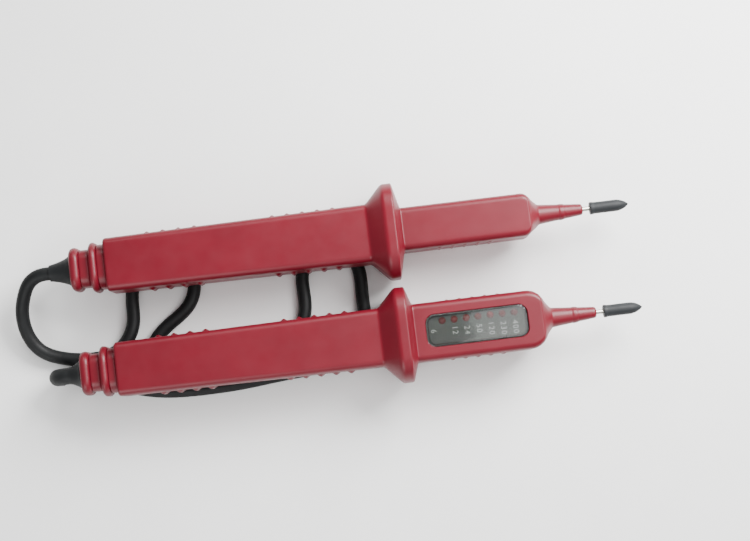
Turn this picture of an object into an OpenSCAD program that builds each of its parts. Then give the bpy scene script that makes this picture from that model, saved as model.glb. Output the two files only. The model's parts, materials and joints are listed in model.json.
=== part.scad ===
// Two-pole voltage tester: a handle with a row of indicator lamps, a plain
// second handle, and the flexible lead that joins them. Both handles lie side
// by side on their finger guards, tips along +X, and each tip wears a push-on
// cap. Lengths are in millimetres. The origin is on the supporting surface,
// under the middle of the pair of handles.

/* [Handles] */
// Distance between the axes of the two handles as they lie side by side
handle_pitch = 46; // [44:0.5:60]
// Wall thickness of the moulded shells
wall = 2; // [1.6:0.1:2.4]
// Wall thickness of the front face round the display
face_wall = 2.4; // [2.2:0.1:2.8]
// Clearance between moulded pieces that fit into each other
fit = 0.1; // [0.05:0.01:0.2]
// Clearance between a metal pin and its bore
pin_fit = 0.05; // [0.02:0.01:0.1]

/* [Rear grip] */
// Length of the grip between the tail rings and the finger guard
grip_len = 116.1; // [105:0.1:125]
// Width of the grip at its tail end
grip_tail_w = 23.5; // [22:0.5:25]
// Width of the grip where it meets the finger guard
grip_w = 25.5; // [24:0.5:27]
// Thickness of the grip from its front face to its back
grip_h = 22; // [20:0.5:24]
// Radius of the grip's long edges
grip_edge_r = 3; // [3:0.5:6]
// Rounding of the grip's tail end
grip_end_r = 1.2; // [0.5:0.1:2]

/* [Tail rings] */
// Length of the last ring, at the very end of the handle
end_ring_len = 4.3; // [3.5:0.1:5]
// Width of the last ring
end_ring_w = 19.4; // [18:0.2:21]
// Thickness of the last ring
end_ring_h = 18; // [17:0.2:19]
// Length of the groove behind the last ring
end_groove_len = 4.3; // [3.5:0.1:5]
// Width of the groove behind the last ring
end_groove_w = 16.6; // [16:0.2:18]
// Thickness of the groove behind the last ring
end_groove_h = 15.4; // [15:0.2:16.6]
// Length of the second ring
neck_ring_len = 3.8; // [3.2:0.1:4.5]
// Width of the second ring
neck_ring_w = 22.2; // [21:0.2:23]
// Thickness of the second ring
neck_ring_h = 20.6; // [20:0.2:21.6]
// Length of the groove beside the grip
neck_groove_len = 3.6; // [3:0.1:4.5]
// Width of the groove beside the grip
neck_groove_w = 19.6; // [19:0.2:20.6]
// Thickness of the groove beside the grip
neck_groove_h = 18.2; // [17.6:0.2:19]
// Corner radius of the rings and grooves, seen along the handle
tail_corner_r = 6.5; // [5:0.5:7]

/* [Finger guard] */
// Width of the finger guard across both handles' plane
guard_w = 41.9; // [38:0.1:43]
// Height of the finger guard, which the tester lies on
guard_h = 36; // [34:0.5:40]
// Corner radius of the finger guard, seen along the handle
guard_corner_r = 12; // [8:0.5:14]
// Length of the guard's crest along the handle
guard_crest_len = 4.6; // [4:0.2:6]
// Rounding of the crest's two edges
guard_edge_r = 1.1; // [0.6:0.1:1.6]
// Length of the ramp that rises from the grip
guard_rear_len = 7.6; // [6:0.1:10]
// Length of the steep ramp on the tip side
guard_front_len = 2.6; // [2:0.1:4]

/* [Front section] */
// Length of the front section between the display window and the shoulder
front_end_len = 6.6; // [6:0.1:12]
// Width of the front section that holds the display
tester_front_w = 25.6; // [25:0.1:27]
// Width of the front section of the plain handle
probe_front_w = 19; // [18.5:0.1:22]
// Thickness of both front sections
front_h = 20; // [19.6:0.1:22]
// Radius of the front section's long edges
front_edge_r = 4; // [2.5:0.5:5]
// Radius of the display handle's corners before the shoulder, seen from the front
tester_corner_r = 8; // [4:0.5:9]
// Radius of the plain handle's corners before the shoulder, seen from the front
probe_corner_r = 4; // [2:0.5:6]
// Length of the sloping shoulder that closes down to the nose
shoulder_len = 4.6; // [4:0.1:7]
// Angle at which the shoulder slopes in
shoulder_angle = 50; // [40:1:55]
// Rounding of the shoulder's edge on the front face
shoulder_edge_r = 0.8; // [0.4:0.1:1.2]

/* [Nose] */
// Length of the tapered nose
nose_len = 19.9; // [17:0.1:24]
// Diameter of the nose at the shoulder
nose_base_d = 8.8; // [8:0.1:10]
// Diameter of the nose at its end
nose_end_d = 4.8; // [4.2:0.1:5.4]
// Radius of the fillet between the shoulder and the nose
nose_fillet_r = 3; // [1:0.1:4]
// Rounding of the end of the nose
nose_tip_r = 1; // [0.5:0.1:1.3]
// Distance of the small raised ring from the shoulder
nose_ring_at = 9.8; // [6:0.1:13]
// Length of the small raised ring
nose_ring_len = 1.2; // [0.8:0.1:2]
// Height of the small raised ring
nose_ring_out = 0.35; // [0.2:0.05:0.6]

/* [Side ridges] */
// Radius of the half-round ridges on the grip's sides
ridge_r = 1.6; // [1.2:0.1:2]
// How far those ridges stand out
ridge_out = 1.2; // [0.8:0.1:1.6]
// Length of a ridge up the side of the handle
ridge_len = 11; // [8:0.5:13]
// Number of ridges near the tail
tail_ridges = 4; // [2:1:5]
// Number of ridges near the finger guard
guard_ridges = 5; // [3:1:6]
// Spacing of the ridges on the grip
ridge_pitch = 7; // [6:0.1:8]
// Distance of the first tail ridge from the tail end of the grip
tail_ridge_at = 19; // [15:0.5:25]
// Distance of the last guard ridge from the ramp of the guard
guard_ridge_at = 14.1; // [8:0.1:16]
// Radius of the small ridges on the front section
front_ridge_r = 1.3; // [1:0.1:1.5]
// How far the small ridges stand out
front_ridge_out = 0.6; // [0.4:0.1:1]
// Number of the small ridges
front_ridges = 5; // [3:1:6]
// Spacing of the small ridges
front_ridge_pitch = 5.6; // [4.5:0.1:6.5]
// Distance of the first small ridge from the guard's front ramp
front_ridge_at = 15.6; // [12:0.1:20]

/* [Display] */
// Length of the display window
window_len = 44.5; // [42:0.1:45.5]
// Width of the display window
window_w = 14.1; // [13:0.1:15]
// Thickness of the display window
window_t = 1.6; // [1.2:0.1:1.8]
// Corner radius of the display window
window_corner_r = 4; // [3:0.1:5]
// Distance of the window from the guard's front ramp
window_at = 5; // [4.5:0.1:6.5]
// Width of the ledge that carries the window
window_ledge = 1.2; // [1:0.1:1.6]
// Thickness of the scale plate behind the window
plate_t = 0.6; // [0.4:0.1:0.8]
// How far the scale plate reaches past the window's opening
plate_margin = 0.7; // [0.5:0.1:1]
// Number of indicator lamps
led_count = 7; // [3:1:7]
// Distance of the first lamp from the window's rear edge
led_at = 7.4; // [6:0.1:8]
// Distance of the last lamp from the window's front edge
led_end = 5.5; // [4.5:0.1:7]
// Distance of the row of lamps from the handle's axis
led_side = 4.1; // [3:0.1:4.2]
// Diameter of a lamp
led_d = 3; // [2.8:0.1:3]
// Diameter of a lamp's foot
led_foot_d = 3.8; // [3.2:0.1:4]
// Height of a lamp's foot
led_foot_h = 1; // [0.6:0.1:1.2]
// Height of a lamp over all
led_h = 5.3; // [4.5:0.1:5.6]

/* [Circuit boards] */
// Thickness of the circuit boards
board_t = 1.6; // [1:0.1:2]
// Width of the circuit board in the display handle
board_w = 15; // [14:0.5:17]
// How far that board reaches back into the grip, from the guard's centre
board_back = 52; // [40:1:53]
// Distance of that board's front end from the shoulder
board_end_gap = 7; // [5:0.5:9]
// Width of the resistor board in the plain handle
probe_board_w = 13; // [12.5:0.5:15]
// Rear end of the resistor board, behind the guard's centre
probe_board_back = 50; // [46:1:51]
// Front end of the resistor board, behind the guard's centre
probe_board_front = 6; // [5:1:12]
// Diameter of the pillars that carry the boards
pillar_d = 3.2; // [2.6:0.1:3.6]
// Distance of the board pillars from the handle's axis
pillar_side = 4.6; // [4:0.1:5]
// Length of a resistor's body
resistor_len = 6.5; // [5:0.1:8]
// Diameter of a resistor's body
resistor_d = 2.4; // [2:0.1:2.8]
// Length of a large series resistor's body
series_len = 12; // [10:0.5:13]
// Diameter of a large series resistor's body
series_d = 4.4; // [3.5:0.1:5]
// Diameter of the resistor wires
resistor_wire_d = 0.6; // [0.5:0.1:0.8]
// Length of the chip
chip_len = 9; // [7:0.5:10]
// Width of the chip's body
chip_w = 4; // [3:0.5:6]
// Height of the chip's body above its legs
chip_h = 1.4; // [1:0.1:2]
// Legs on each side of the chip
chip_legs = 4; // [3:1:5]
// Length of the capacitor
capacitor_len = 8; // [6:0.5:9]
// Diameter of the capacitor
capacitor_d = 4.4; // [3.6:0.1:5]

/* [Test tips] */
// Diameter of the metal test pin
pin_d = 2; // [1.8:0.1:2.2]
// Length of bare pin between the nose and the cap
pin_bare = 3.2; // [2:0.1:5]
// Length of the pin inside the cap
pin_in_cap = 12; // [9:0.1:12.5]
// Length of the pin behind the nose
pin_tail = 3.6; // [2:0.1:4]
// Length of the pin's pointed end
pin_point = 2; // [1:0.1:3]
// Diameter of the pin's collar
collar_d = 4; // [3:0.1:4.4]
// Length of the pin's collar
collar_len = 2; // [1.5:0.1:3]
// Length of the cap
cap_len = 17.3; // [15:0.1:20]
// Diameter of the cap
cap_d = 5.2; // [4.6:0.1:6]
// Diameter of the lip at the cap's open end
cap_lip_d = 5.6; // [5.3:0.1:6.4]
// Length of that lip
cap_lip_len = 1.2; // [0.8:0.1:2]
// Length of the cap's pointed end
cap_point = 6; // [4:0.1:7]
// Radius of the cap's blunt tip
cap_tip_r = 0.6; // [0.4:0.1:1]

/* [Lead] */
// Diameter of the lead
lead_d = 6; // [5.6:0.1:6]
// Length of the boot outside the plain handle
boot_len = 10; // [9:0.5:14]
// Length of the display handle's boot before it turns down
elbow_at = 6; // [5:0.5:8]
// Radius of that turn, along the middle of the boot
elbow_r = 6.5; // [6:0.5:7]
// Angle of that turn, down and back under the handle
elbow_angle = 130; // [110:5:140]
// Diameter of the boot against the handle
boot_base_d = 14; // [12:0.5:15]
// Diameter of the boot where the lead leaves it
boot_end_d = 7.4; // [7:0.1:8.5]
// Diameter of the boot's neck in the tail wall
boot_neck_d = 8.6; // [8:0.1:9.4]
// Diameter of the boot's inner flange
boot_flange_d = 10.6; // [10:0.1:10.8]
// Length of the boot's inner flange
boot_flange_len = 2; // [1.5:0.1:2.5]
// Length of the clamp that holds the lead
clamp_len = 5; // [4:0.1:6]
// Distance of the clamp from the boot's inner flange
clamp_gap = 2.5; // [2:0.1:3]
// Length of the lead's jacket past the clamp
jacket_past_clamp = 2; // [1:0.1:3]
// Diameter of the wires inside the handles
wire_d = 1.6; // [1.2:0.1:1.8]

/* [Screws] */
// Thread diameter of the case screws
screw_d = 2.9; // [2.6:0.1:3]
// Length of the thread
screw_len = 11; // [9:0.5:12]
// Diameter of the screw's head
screw_head_d = 5.2; // [4.8:0.1:5.6]
// Height of the screw's head
screw_head_h = 1.8; // [1.4:0.1:2.2]
// Length of the head's cross slot
slot_len = 3; // [2.6:0.1:3.4]
// Width of the cross slot
slot_w = 0.8; // [0.6:0.1:1]
// Depth of the cross slot
slot_depth = 0.9; // [0.7:0.1:1]
// Distance of the head's seat from the parting plane
screw_seat = 6.5; // [5.5:0.1:7]
// Diameter of the screw pillars in the back shell
back_post_d = 8.4; // [7.8:0.1:8.8]
// Diameter of the screw pillars in the front shell
front_post_d = 5.5; // [5:0.1:5.6]
// Clearance round the screw's thread where it only passes through
screw_pass = 0.25; // [0.15:0.05:0.4]
// Clearance round the screw's head
head_pass = 0.3; // [0.2:0.05:0.5]
// Distance of the tail screw from the tail end of the grip
tail_screw_at = 12; // [10:0.5:16]
// Distance of the middle screw from the guard's centre
middle_screw_at = 57; // [56.5:0.5:62]
// Distance of the front screw from the guard's centre
front_screw_at = 7.5; // [7.3:0.1:7.6]

/* [Hidden] */

$fn = 48;
hull_fn = 32;
// Overrun of every cut past the face it opens
over = 0.5;
// Thickness of the slices that a blended form is stretched over
slice_t = 0.05;

// Places along a handle, with the middle of the finger guard at x = 0
grip_front_x = -guard_crest_len / 2 - guard_rear_len;
grip_rear_x = grip_front_x - grip_len;
neck_ring_x = grip_rear_x - neck_groove_len - neck_ring_len;
end_groove_x = neck_ring_x - end_groove_len;
tail_x = end_groove_x - end_ring_len;
front_x = guard_crest_len / 2 + guard_front_len;
window_x = front_x + window_at;
shoulder_x = window_x + window_len + front_end_len;
nose_x = shoulder_x + shoulder_len;
nose_end_x = nose_x + nose_len;
cap_x = nose_end_x + pin_bare;
cap_tip_x = cap_x + cap_len;
boot_end_x = tail_x - boot_len;
elbow_x = tail_x - elbow_at;

// Where the handles' own x = 0 lies, so that the pair is centred on the origin
guard_x = -(boot_end_x + cap_tip_x) / 2;
axis_z = guard_h / 2;

// Inside of the shells
tail_room_w = end_groove_w - 2 * wall;
tail_room_h = end_groove_h - 2 * wall;
grip_room_w = grip_tail_w - 2 * wall;
grip_room_h = grip_h - 2 * wall;
front_floor_z = -front_h / 2 + wall;
front_roof_z = front_h / 2 - face_wall;
room_corner_r = grip_edge_r - wall;
front_room_r = front_edge_r - wall;
room_front_x = shoulder_x + shoulder_len / 4;

// Display
window_z = front_h / 2 - window_t;
plate_z = front_roof_z - plate_t;
led_x = window_x + led_at;
led_pitch = (window_len - led_at - led_end) / (led_count - 1);
board_top_z = window_z - fit - led_h;
board_z = board_top_z - board_t;
board_front_x = shoulder_x - board_end_gap;
LED_PLACES = [for (i = [0 : led_count - 1]) led_x + i * led_pitch];

// Screws and the pillars that carry the boards
SCREW_PLACES = [grip_rear_x + tail_screw_at, -middle_screw_at, front_screw_at];
pillar_inset = 8;
TESTER_PILLARS = [-board_back + pillar_inset, board_front_x - pillar_inset / 2];
PROBE_PILLARS = [-probe_board_back + pillar_inset, -probe_board_front - pillar_inset];

// Parts on the boards, from the rear end of the display handle's board forwards
resistor_count = 4;
RESISTOR_PLACES = [for (i = [0 : resistor_count - 1])
    -board_back + pillar_inset + 2 * pillar_d + i * 2 * resistor_d];
capacitor_x = RESISTOR_PLACES[resistor_count - 1] + resistor_d;
chip_x = capacitor_x + capacitor_len + 4 * resistor_wire_d;

// Lead inside a handle
flange_x = tail_x + wall;
clamp_x = flange_x + boot_flange_len + clamp_gap;
jacket_end_x = clamp_x + clamp_len + jacket_past_clamp;
pin_tail_x = nose_x - pin_tail;
collar_x = nose_x + collar_len;
wire_r = wire_d / 2;
// Height of a wire that runs along the underside of a board
wire_under_z = board_z - wire_r - fit;
wire_side = back_post_d / 2 + wire_d;
wire_bend = 4 * wire_d;
boot_bore_r = lead_d / 2 + pin_fit;

// Shares of a slice's travel along the rounded forms that are stretched over slices
ring_steps = 6;
shoulder_steps = 5;
arc_steps = 6;

// Route of the lead's bend beside the tails: from the plain handle's boot down to the surface
BEND_ROUTE = [
    [-129, 23, 18], [-134, 22.7, 17.6], [-138.6, 20.4, 16.4], [-142, 15.5, 14.2],
    [-144.4, 8.5, 11.2], [-144.4, 0.5, 8.2], [-141.8, -6.5, 5.7], [-137, -11.3, 4], [-130.5, -14, 3]
];
// Route of the lead on the surface under both handles, up to the mouth of the display handle's boot
RUN_ROUTE = [
    [-130.5, -14, 3], [-123, -15.6, 3], [-115, -16, 3], [-107, -14.5, 3],
    [-100.5, -9.5, 3], [-97, -2, 3], [-96.5, 6, 3], [-95.5, 14, 3],
    [-91, 22, 3], [-83, 26, 3], [-75, 24, 3], [-69, 18, 3], [-68, 10, 3],
    [-72, 2, 3], [-79, -3.4, 3], [-85, -8, 3], [-89, -14, 3], [-88.5, -20.5, 3],
    [-84.5, -25.5, 3], [-77.5, -27.8, 3], [-69, -27.8, 3], [-57, -26.5, 3],
    [-45, -25, 3], [-34, -22, 3], [-25, -16, 3], [-20, -8, 3], [-19, 1, 3],
    [-19, 9, 3], [-15.5, 17, 3], [-6, 21, 3], [3.5, 17, 3], [7, 8, 3],
    [7, -2, 3], [7, -12, 3], [5, -20.5, 3], [-1, -27.5, 3], [-10, -31, 3],
    [-21, -32.4, 3], [-33, -33.3, 3], [-45, -34.4, 3], [-58, -35.2, 3],
    [-71, -35.3, 3], [-83, -34.7, 3], [-94, -32.8, 3], [-104, -29.5, 3],
    [-113, -25.8, 3], [-120.5, -23.4, 3], [-126, -23, 4.3]
];
lead_sides = 12;
wire_sides = 8;
ALONG = [1, 0, 0];
MEETING = RUN_ROUTE[1] - BEND_ROUTE[len(BEND_ROUTE) - 2];
// Mouth of the display handle's boot, and the direction into it
BOOT_MOUTH = [
    guard_x + elbow_x - elbow_r * sin(elbow_angle),
    -handle_pitch / 2,
    axis_z - elbow_r * (1 - cos(elbow_angle))
];
INTO_MOUTH = [cos(elbow_angle), 0, sin(elbow_angle)];

// Half the grip's width at a place along it
function grip_side(x) =
    (grip_tail_w + (grip_w - grip_tail_w) * (x - grip_rear_x) / grip_len) / 2;

function unit(v) = v / norm(v);

// Direction of a route at its point i, with set directions at its two ends
function heading(route, i, first, last) =
    i == 0 ? unit(first) :
    i == len(route) - 1 ? unit(last) :
    unit(unit(route[i + 1] - route[i]) + unit(route[i] - route[i - 1]));

// Corners of the ring round point i of a route
function tube_ring(route, i, radius, sides, first, last) =
    let (
        ahead = heading(route, i, first, last),
        beside = unit(cross(ahead, [0, 0, 1])),
        above = cross(beside, ahead)
    )
    [for (k = [0 : sides - 1]) let (a = 360 * k / sides)
        route[i] + radius * (cos(a) * beside + sin(a) * above)];

// A tube of one radius along a route, closed at both ends
module tube(route, radius, sides, first, last) {
    rings = len(route);
    points = [for (i = [0 : rings - 1]) each tube_ring(route, i, radius, sides, first, last)];
    walls = [for (i = [0 : rings - 2], k = [0 : sides - 1])
        let (n = (k + 1) % sides, a = i * sides, b = a + sides)
        each [[a + k, b + k, b + n], [a + k, b + n, a + n]]];
    start = [for (k = [0 : sides - 1]) k];
    finish = [for (k = [sides - 1 : -1 : 0]) (rings - 1) * sides + k];
    polyhedron(points, concat(walls, [start], [finish]));
}

module rounded_rect(w, h, r) {
    square([w - 2 * r, h], center = true);
    square([w, h - 2 * r], center = true);
    for (x = [-1, 1], y = [-1, 1])
        translate([x * (w / 2 - r), y * (h / 2 - r)]) circle(r);
}

// A straight length of rounded bar along the handle
module bar(x, length, w, h, r) {
    translate([x, 0, 0]) rotate([90, 0, 90]) linear_extrude(length) rounded_rect(w, h, r);
}

// One thin slice of a blended form, centred on its place along the handle
module slice(x, w, h, r) {
    bar(x - slice_t / 2, slice_t, w, h, r, $fn = hull_fn);
}

// A profile of [place along the handle, radius] pairs, turned round the handle's axis
module turned(profile) {
    rotate([90, 0, 90]) rotate_extrude() polygon([for (p = profile) [p[1], p[0]]]);
}

// A shape drawn in plan, standing from z to z + height
module plan(z, height) {
    translate([0, 0, z]) linear_extrude(height) children();
}

// Moves a handle's piece from the handle's own axis to where the handle lies
module at_tester() {
    translate([guard_x, -handle_pitch / 2, axis_z]) children();
}

module at_probe() {
    translate([guard_x, handle_pitch / 2, axis_z]) children();
}

// A ring of the tail, half round across its length
module tail_ring(x, length, w, h, inner_w, inner_h) {
    hull() {
        for (i = [0 : ring_steps]) {
            a = 180 * i / ring_steps;
            slice(
                x + slice_t / 2 + (length - slice_t) * (1 - cos(a)) / 2,
                inner_w + (w - inner_w) * sin(a),
                inner_h + (h - inner_h) * sin(a),
                tail_corner_r + (h - inner_h) * sin(a) / 2
            );
        }
    }
}

module grip_form() {
    hull() {
        slice(grip_rear_x, grip_tail_w - 2 * grip_end_r, grip_h - 2 * grip_end_r, grip_edge_r - grip_end_r);
        slice(
            grip_rear_x + grip_end_r / 4,
            grip_tail_w - grip_end_r / 2, grip_h - grip_end_r / 2, grip_edge_r - grip_end_r / 4
        );
        slice(grip_rear_x + grip_end_r, grip_tail_w, grip_h, grip_edge_r);
        slice(grip_front_x, grip_w, grip_h, grip_edge_r);
    }
}

module guard_form(front_w) {
    crest = guard_crest_len / 2;
    hull() {
        slice(grip_front_x, grip_w, grip_h, grip_edge_r);
        for (side = [-1, 1]) {
            slice(side * crest, guard_w - guard_edge_r, guard_h - guard_edge_r, guard_corner_r);
            slice(side * (crest - guard_edge_r), guard_w, guard_h, guard_corner_r);
        }
        slice(front_x, front_w, front_h, front_edge_r);
    }
}

// The front section: its corners turn in by an arc, and the shoulder slopes down to the nose
module front_form(front_w, corner_r) {
    hull() {
        slice(front_x, front_w, front_h, front_edge_r);
        for (i = [0 : shoulder_steps]) {
            a = shoulder_angle * i / shoulder_steps;
            slice(
                shoulder_x - corner_r * (sin(shoulder_angle) - sin(a)),
                front_w - 2 * corner_r * (1 - cos(a)),
                front_h - (i == shoulder_steps ? shoulder_edge_r : 0),
                front_edge_r
            );
        }
        slice(nose_x - slice_t / 2, nose_base_d, nose_base_d, nose_base_d / 2);
    }
}

function nose_r(x) = (nose_base_d + (nose_end_d - nose_base_d) * (x - nose_x) / nose_len) / 2;

module nose_form() {
    ring_x = nose_x + nose_ring_at;
    fillet_end_x = nose_x + nose_fillet_r * tan(shoulder_angle / 2);
    turned(concat(
        [[fillet_end_x - nose_fillet_r * sin(shoulder_angle), 0]],
        [for (i = [0 : arc_steps]) let (a = shoulder_angle * (1 - i / arc_steps)) [
            fillet_end_x - nose_fillet_r * sin(a),
            nose_r(fillet_end_x) + nose_fillet_r * (1 - cos(a))
        ]],
        [
            [ring_x, nose_r(ring_x)],
            [ring_x + nose_ring_len / 4, nose_r(ring_x) + nose_ring_out],
            [ring_x + 3 * nose_ring_len / 4, nose_r(ring_x) + nose_ring_out],
            [ring_x + nose_ring_len, nose_r(ring_x + nose_ring_len)]
        ],
        [for (i = [0 : arc_steps]) let (a = 90 * i / arc_steps) [
            nose_end_x - nose_tip_r * (1 - sin(a)),
            nose_end_d / 2 - nose_tip_r * (1 - cos(a))
        ]],
        [[nose_end_x, 0]]
    ));
}

// Round ridges in plan, one on each side of the handle at each place
module ridge_row(count, first, pitch, r, out, tapered_w) {
    for (i = [0 : count - 1], side = [-1, 1]) {
        x = first + i * pitch;
        half = tapered_w > 0 ? tapered_w / 2 : grip_side(x);
        translate([x, side * (half + out - r)]) circle(r);
    }
}

module ridges(front_w) {
    plan(-ridge_len / 2, ridge_len) {
        ridge_row(tail_ridges, grip_rear_x + tail_ridge_at, ridge_pitch, ridge_r, ridge_out, 0);
        ridge_row(
            guard_ridges, grip_front_x - guard_ridge_at - (guard_ridges - 1) * ridge_pitch,
            ridge_pitch, ridge_r, ridge_out, 0
        );
        ridge_row(
            front_ridges, front_x + front_ridge_at, front_ridge_pitch,
            front_ridge_r, front_ridge_out, front_w
        );
    }
}

// The whole outside of a handle
module handle_form(front_w, corner_r) {
    tail_ring(tail_x, end_ring_len, end_ring_w, end_ring_h, end_groove_w, end_groove_h);
    bar(end_groove_x - over, end_groove_len + 2 * over, end_groove_w, end_groove_h, tail_corner_r);
    tail_ring(neck_ring_x, neck_ring_len, neck_ring_w, neck_ring_h, neck_groove_w, neck_groove_h);
    bar(
        neck_ring_x + neck_ring_len / 2, neck_ring_len / 2 + neck_groove_len + grip_end_r,
        neck_groove_w, neck_groove_h, tail_corner_r
    );
    grip_form();
    guard_form(front_w);
    front_form(front_w, corner_r);
    nose_form();
    ridges(front_w);
}

// The hollow inside a handle
module handle_room(front_w) {
    bar(flange_x, grip_rear_x + 2 * wall - flange_x, tail_room_w, tail_room_h, tail_corner_r - wall);
    bar(grip_rear_x + wall, front_x - grip_rear_x - wall, grip_room_w, grip_room_h, room_corner_r);
    translate([0, 0, (front_floor_z + front_roof_z) / 2])
        bar(
            front_x - wall, shoulder_x - wall - front_x, front_w - 2 * wall,
            front_roof_z - front_floor_z, front_room_r
        );
    bar(
        shoulder_x - 3 * wall, room_front_x + 3 * wall - shoulder_x,
        nose_base_d, nose_base_d, nose_base_d / 3
    );
}

// The openings that both shells share: the boot's hole, the pin's bore and its collar's groove
module end_openings() {
    turned([
        [tail_x - over, 0], [tail_x - over, boot_neck_d / 2 + fit],
        [flange_x + over, boot_neck_d / 2 + fit], [flange_x + over, 0]
    ]);
    pin_bore_r = pin_d / 2 + pin_fit;
    turned([
        [room_front_x - over, 0], [room_front_x - over, pin_bore_r],
        [collar_x - pin_fit, pin_bore_r], [collar_x - pin_fit, collar_d / 2 + pin_fit],
        [collar_x + collar_len + pin_fit, collar_d / 2 + pin_fit],
        [collar_x + collar_len + pin_fit, pin_bore_r],
        [nose_end_x + over, pin_bore_r], [nose_end_x + over, 0]
    ]);
}

// Everything in front of the parting plane, or behind it
module half_space(front) {
    length = nose_end_x - tail_x + 2 * over;
    translate([tail_x - over, -guard_w / 2 - over, front ? 0 : -guard_h / 2 - over])
        cube([length, guard_w + 2 * over, guard_h / 2 + over]);
}

module half_handle(front_w, corner_r, front) {
    difference() {
        intersection() {
            handle_form(front_w, corner_r);
            half_space(front);
        }
        handle_room(front_w);
        end_openings();
    }
}

// Front half of a handle, with the posts that the screws bite into
module front_shell(front_w, corner_r) {
    difference() {
        union() {
            half_handle(front_w, corner_r, true);
            for (x = SCREW_PLACES) {
                roof = x > front_x ? front_roof_z : grip_room_h / 2;
                translate([x, 0, 0]) cylinder(h = roof + over, d = front_post_d);
            }
        }
        for (x = SCREW_PLACES)
            translate([x, 0, -over])
                cylinder(h = screw_len - screw_seat + 2 * over, r = screw_d / 2 + pin_fit);
    }
}

// Back half of a handle, with its screw pillars and the pillars that carry a board
module back_shell(front_w, corner_r, pillars) {
    difference() {
        union() {
            half_handle(front_w, corner_r, false);
            for (x = SCREW_PLACES) {
                floor_z = x > front_x ? front_floor_z : -grip_room_h / 2;
                translate([x, 0, floor_z - over]) cylinder(h = over - floor_z, d = back_post_d);
            }
            for (x = pillars, side = [-1, 1]) {
                floor_z = x > front_x ? front_floor_z : -grip_room_h / 2;
                translate([x, side * pillar_side, floor_z - over])
                    cylinder(h = board_z + over - floor_z, d = pillar_d);
            }
        }
        for (x = SCREW_PLACES) {
            translate([x, 0, -guard_h / 2])
                cylinder(h = guard_h / 2 + over, r = screw_d / 2 + screw_pass);
            translate([x, 0, -guard_h / 2])
                cylinder(h = guard_h / 2 - screw_seat, r = screw_head_d / 2 + head_pass);
        }
    }
}

module window_outline(margin) {
    translate([window_x + window_len / 2, 0])
        rounded_rect(window_len + 2 * margin, window_w + 2 * margin, window_corner_r + margin);
}

module tester_front_shell() {
    color("#b3202c") at_tester() difference() {
        front_shell(tester_front_w, tester_corner_r);
        plan(window_z, window_t + over) window_outline(fit);
        plan(front_roof_z - over, face_wall + over) window_outline(-window_ledge);
    }
}

module tester_back_shell() {
    color("#b3202c") at_tester() back_shell(tester_front_w, tester_corner_r, TESTER_PILLARS);
}

module probe_front_shell() {
    color("#b3202c") at_probe() front_shell(probe_front_w, probe_corner_r);
}

module probe_back_shell() {
    color("#b3202c") at_probe() back_shell(probe_front_w, probe_corner_r, PROBE_PILLARS);
}

module display_window() {
    color("#59625d", 0.6) at_tester() plan(window_z, window_t) window_outline(0);
}

// Plate with a hole for each lamp, under the ledge of the window
module scale_plate() {
    color("#3c4340") at_tester() plan(plate_z, plate_t) difference() {
        window_outline(plate_margin - window_ledge);
        for (x = LED_PLACES) translate([x, led_side]) circle(d = led_d + 2 * fit);
    }
}

// A lamp standing on the board: its foot, its barrel and its domed end
module lamp() {
    cylinder(h = led_foot_h, d = led_foot_d);
    cylinder(h = led_h - led_d / 2, d = led_d);
    translate([0, 0, led_h - led_d / 2]) sphere(d = led_d);
}

module indicator_lamps() {
    color("#8a2a2a") at_tester()
        for (x = LED_PLACES) translate([x, led_side, board_top_z]) lamp();
}

module circuit_board() {
    color("#2c6b3f") at_tester() plan(board_z, board_t) difference() {
        translate([-board_back, -board_w / 2]) square([board_back + board_front_x, board_w]);
        translate([front_screw_at, 0]) circle(d = front_post_d + 4 * fit);
    }
}

module resistor_board() {
    color("#2c6b3f") at_probe() plan(board_z, board_t)
        translate([-probe_board_back, -probe_board_w / 2])
            square([probe_board_back - probe_board_front, probe_board_w]);
}

// A resistor lying along x with its two wires bent down to the board
module resistor(length, diameter) {
    reach = length / 2 + diameter / 2;
    lift = diameter / 2 + fit;
    translate([0, 0, lift]) rotate([0, 90, 0]) cylinder(h = length, d = diameter, center = true);
    translate([0, 0, lift]) rotate([0, 90, 0])
        cylinder(h = 2 * reach, d = resistor_wire_d, center = true);
    for (side = [-1, 1])
        translate([side * (reach - resistor_wire_d), 0, 0]) cylinder(h = lift, d = resistor_wire_d);
}

// Small resistors lie across the board in a row behind the capacitor
module board_resistors() {
    color("#c8b48a") at_tester()
        for (x = RESISTOR_PLACES)
            translate([x, 0, board_top_z]) rotate([0, 0, 90]) resistor(resistor_len, resistor_d);
}

module series_resistors() {
    spacing = series_len + 2 * series_d;
    middle = -(probe_board_back + probe_board_front) / 2;
    color("#4f6f86") at_probe()
        for (side = [-1, 1])
            translate([middle + side * spacing / 2, 0, board_top_z]) resistor(series_len, series_d);
}

// The chip stands on legs that step out from both long sides
module board_chip() {
    leg_t = chip_h / 5;
    leg_w = chip_len / chip_legs / 3;
    color("#202225") at_tester() translate([chip_x, 0, board_top_z]) {
        translate([0, -chip_w / 2, leg_t]) cube([chip_len, chip_w, chip_h]);
        for (i = [0 : chip_legs - 1], side = [-1, 1])
            translate([
                (i + 0.5) * chip_len / chip_legs - leg_w / 2,
                side * chip_w / 2 - chip_w / 4, 0
            ])
                cube([leg_w, chip_w / 2, chip_h / 2]);
    }
}

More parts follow.
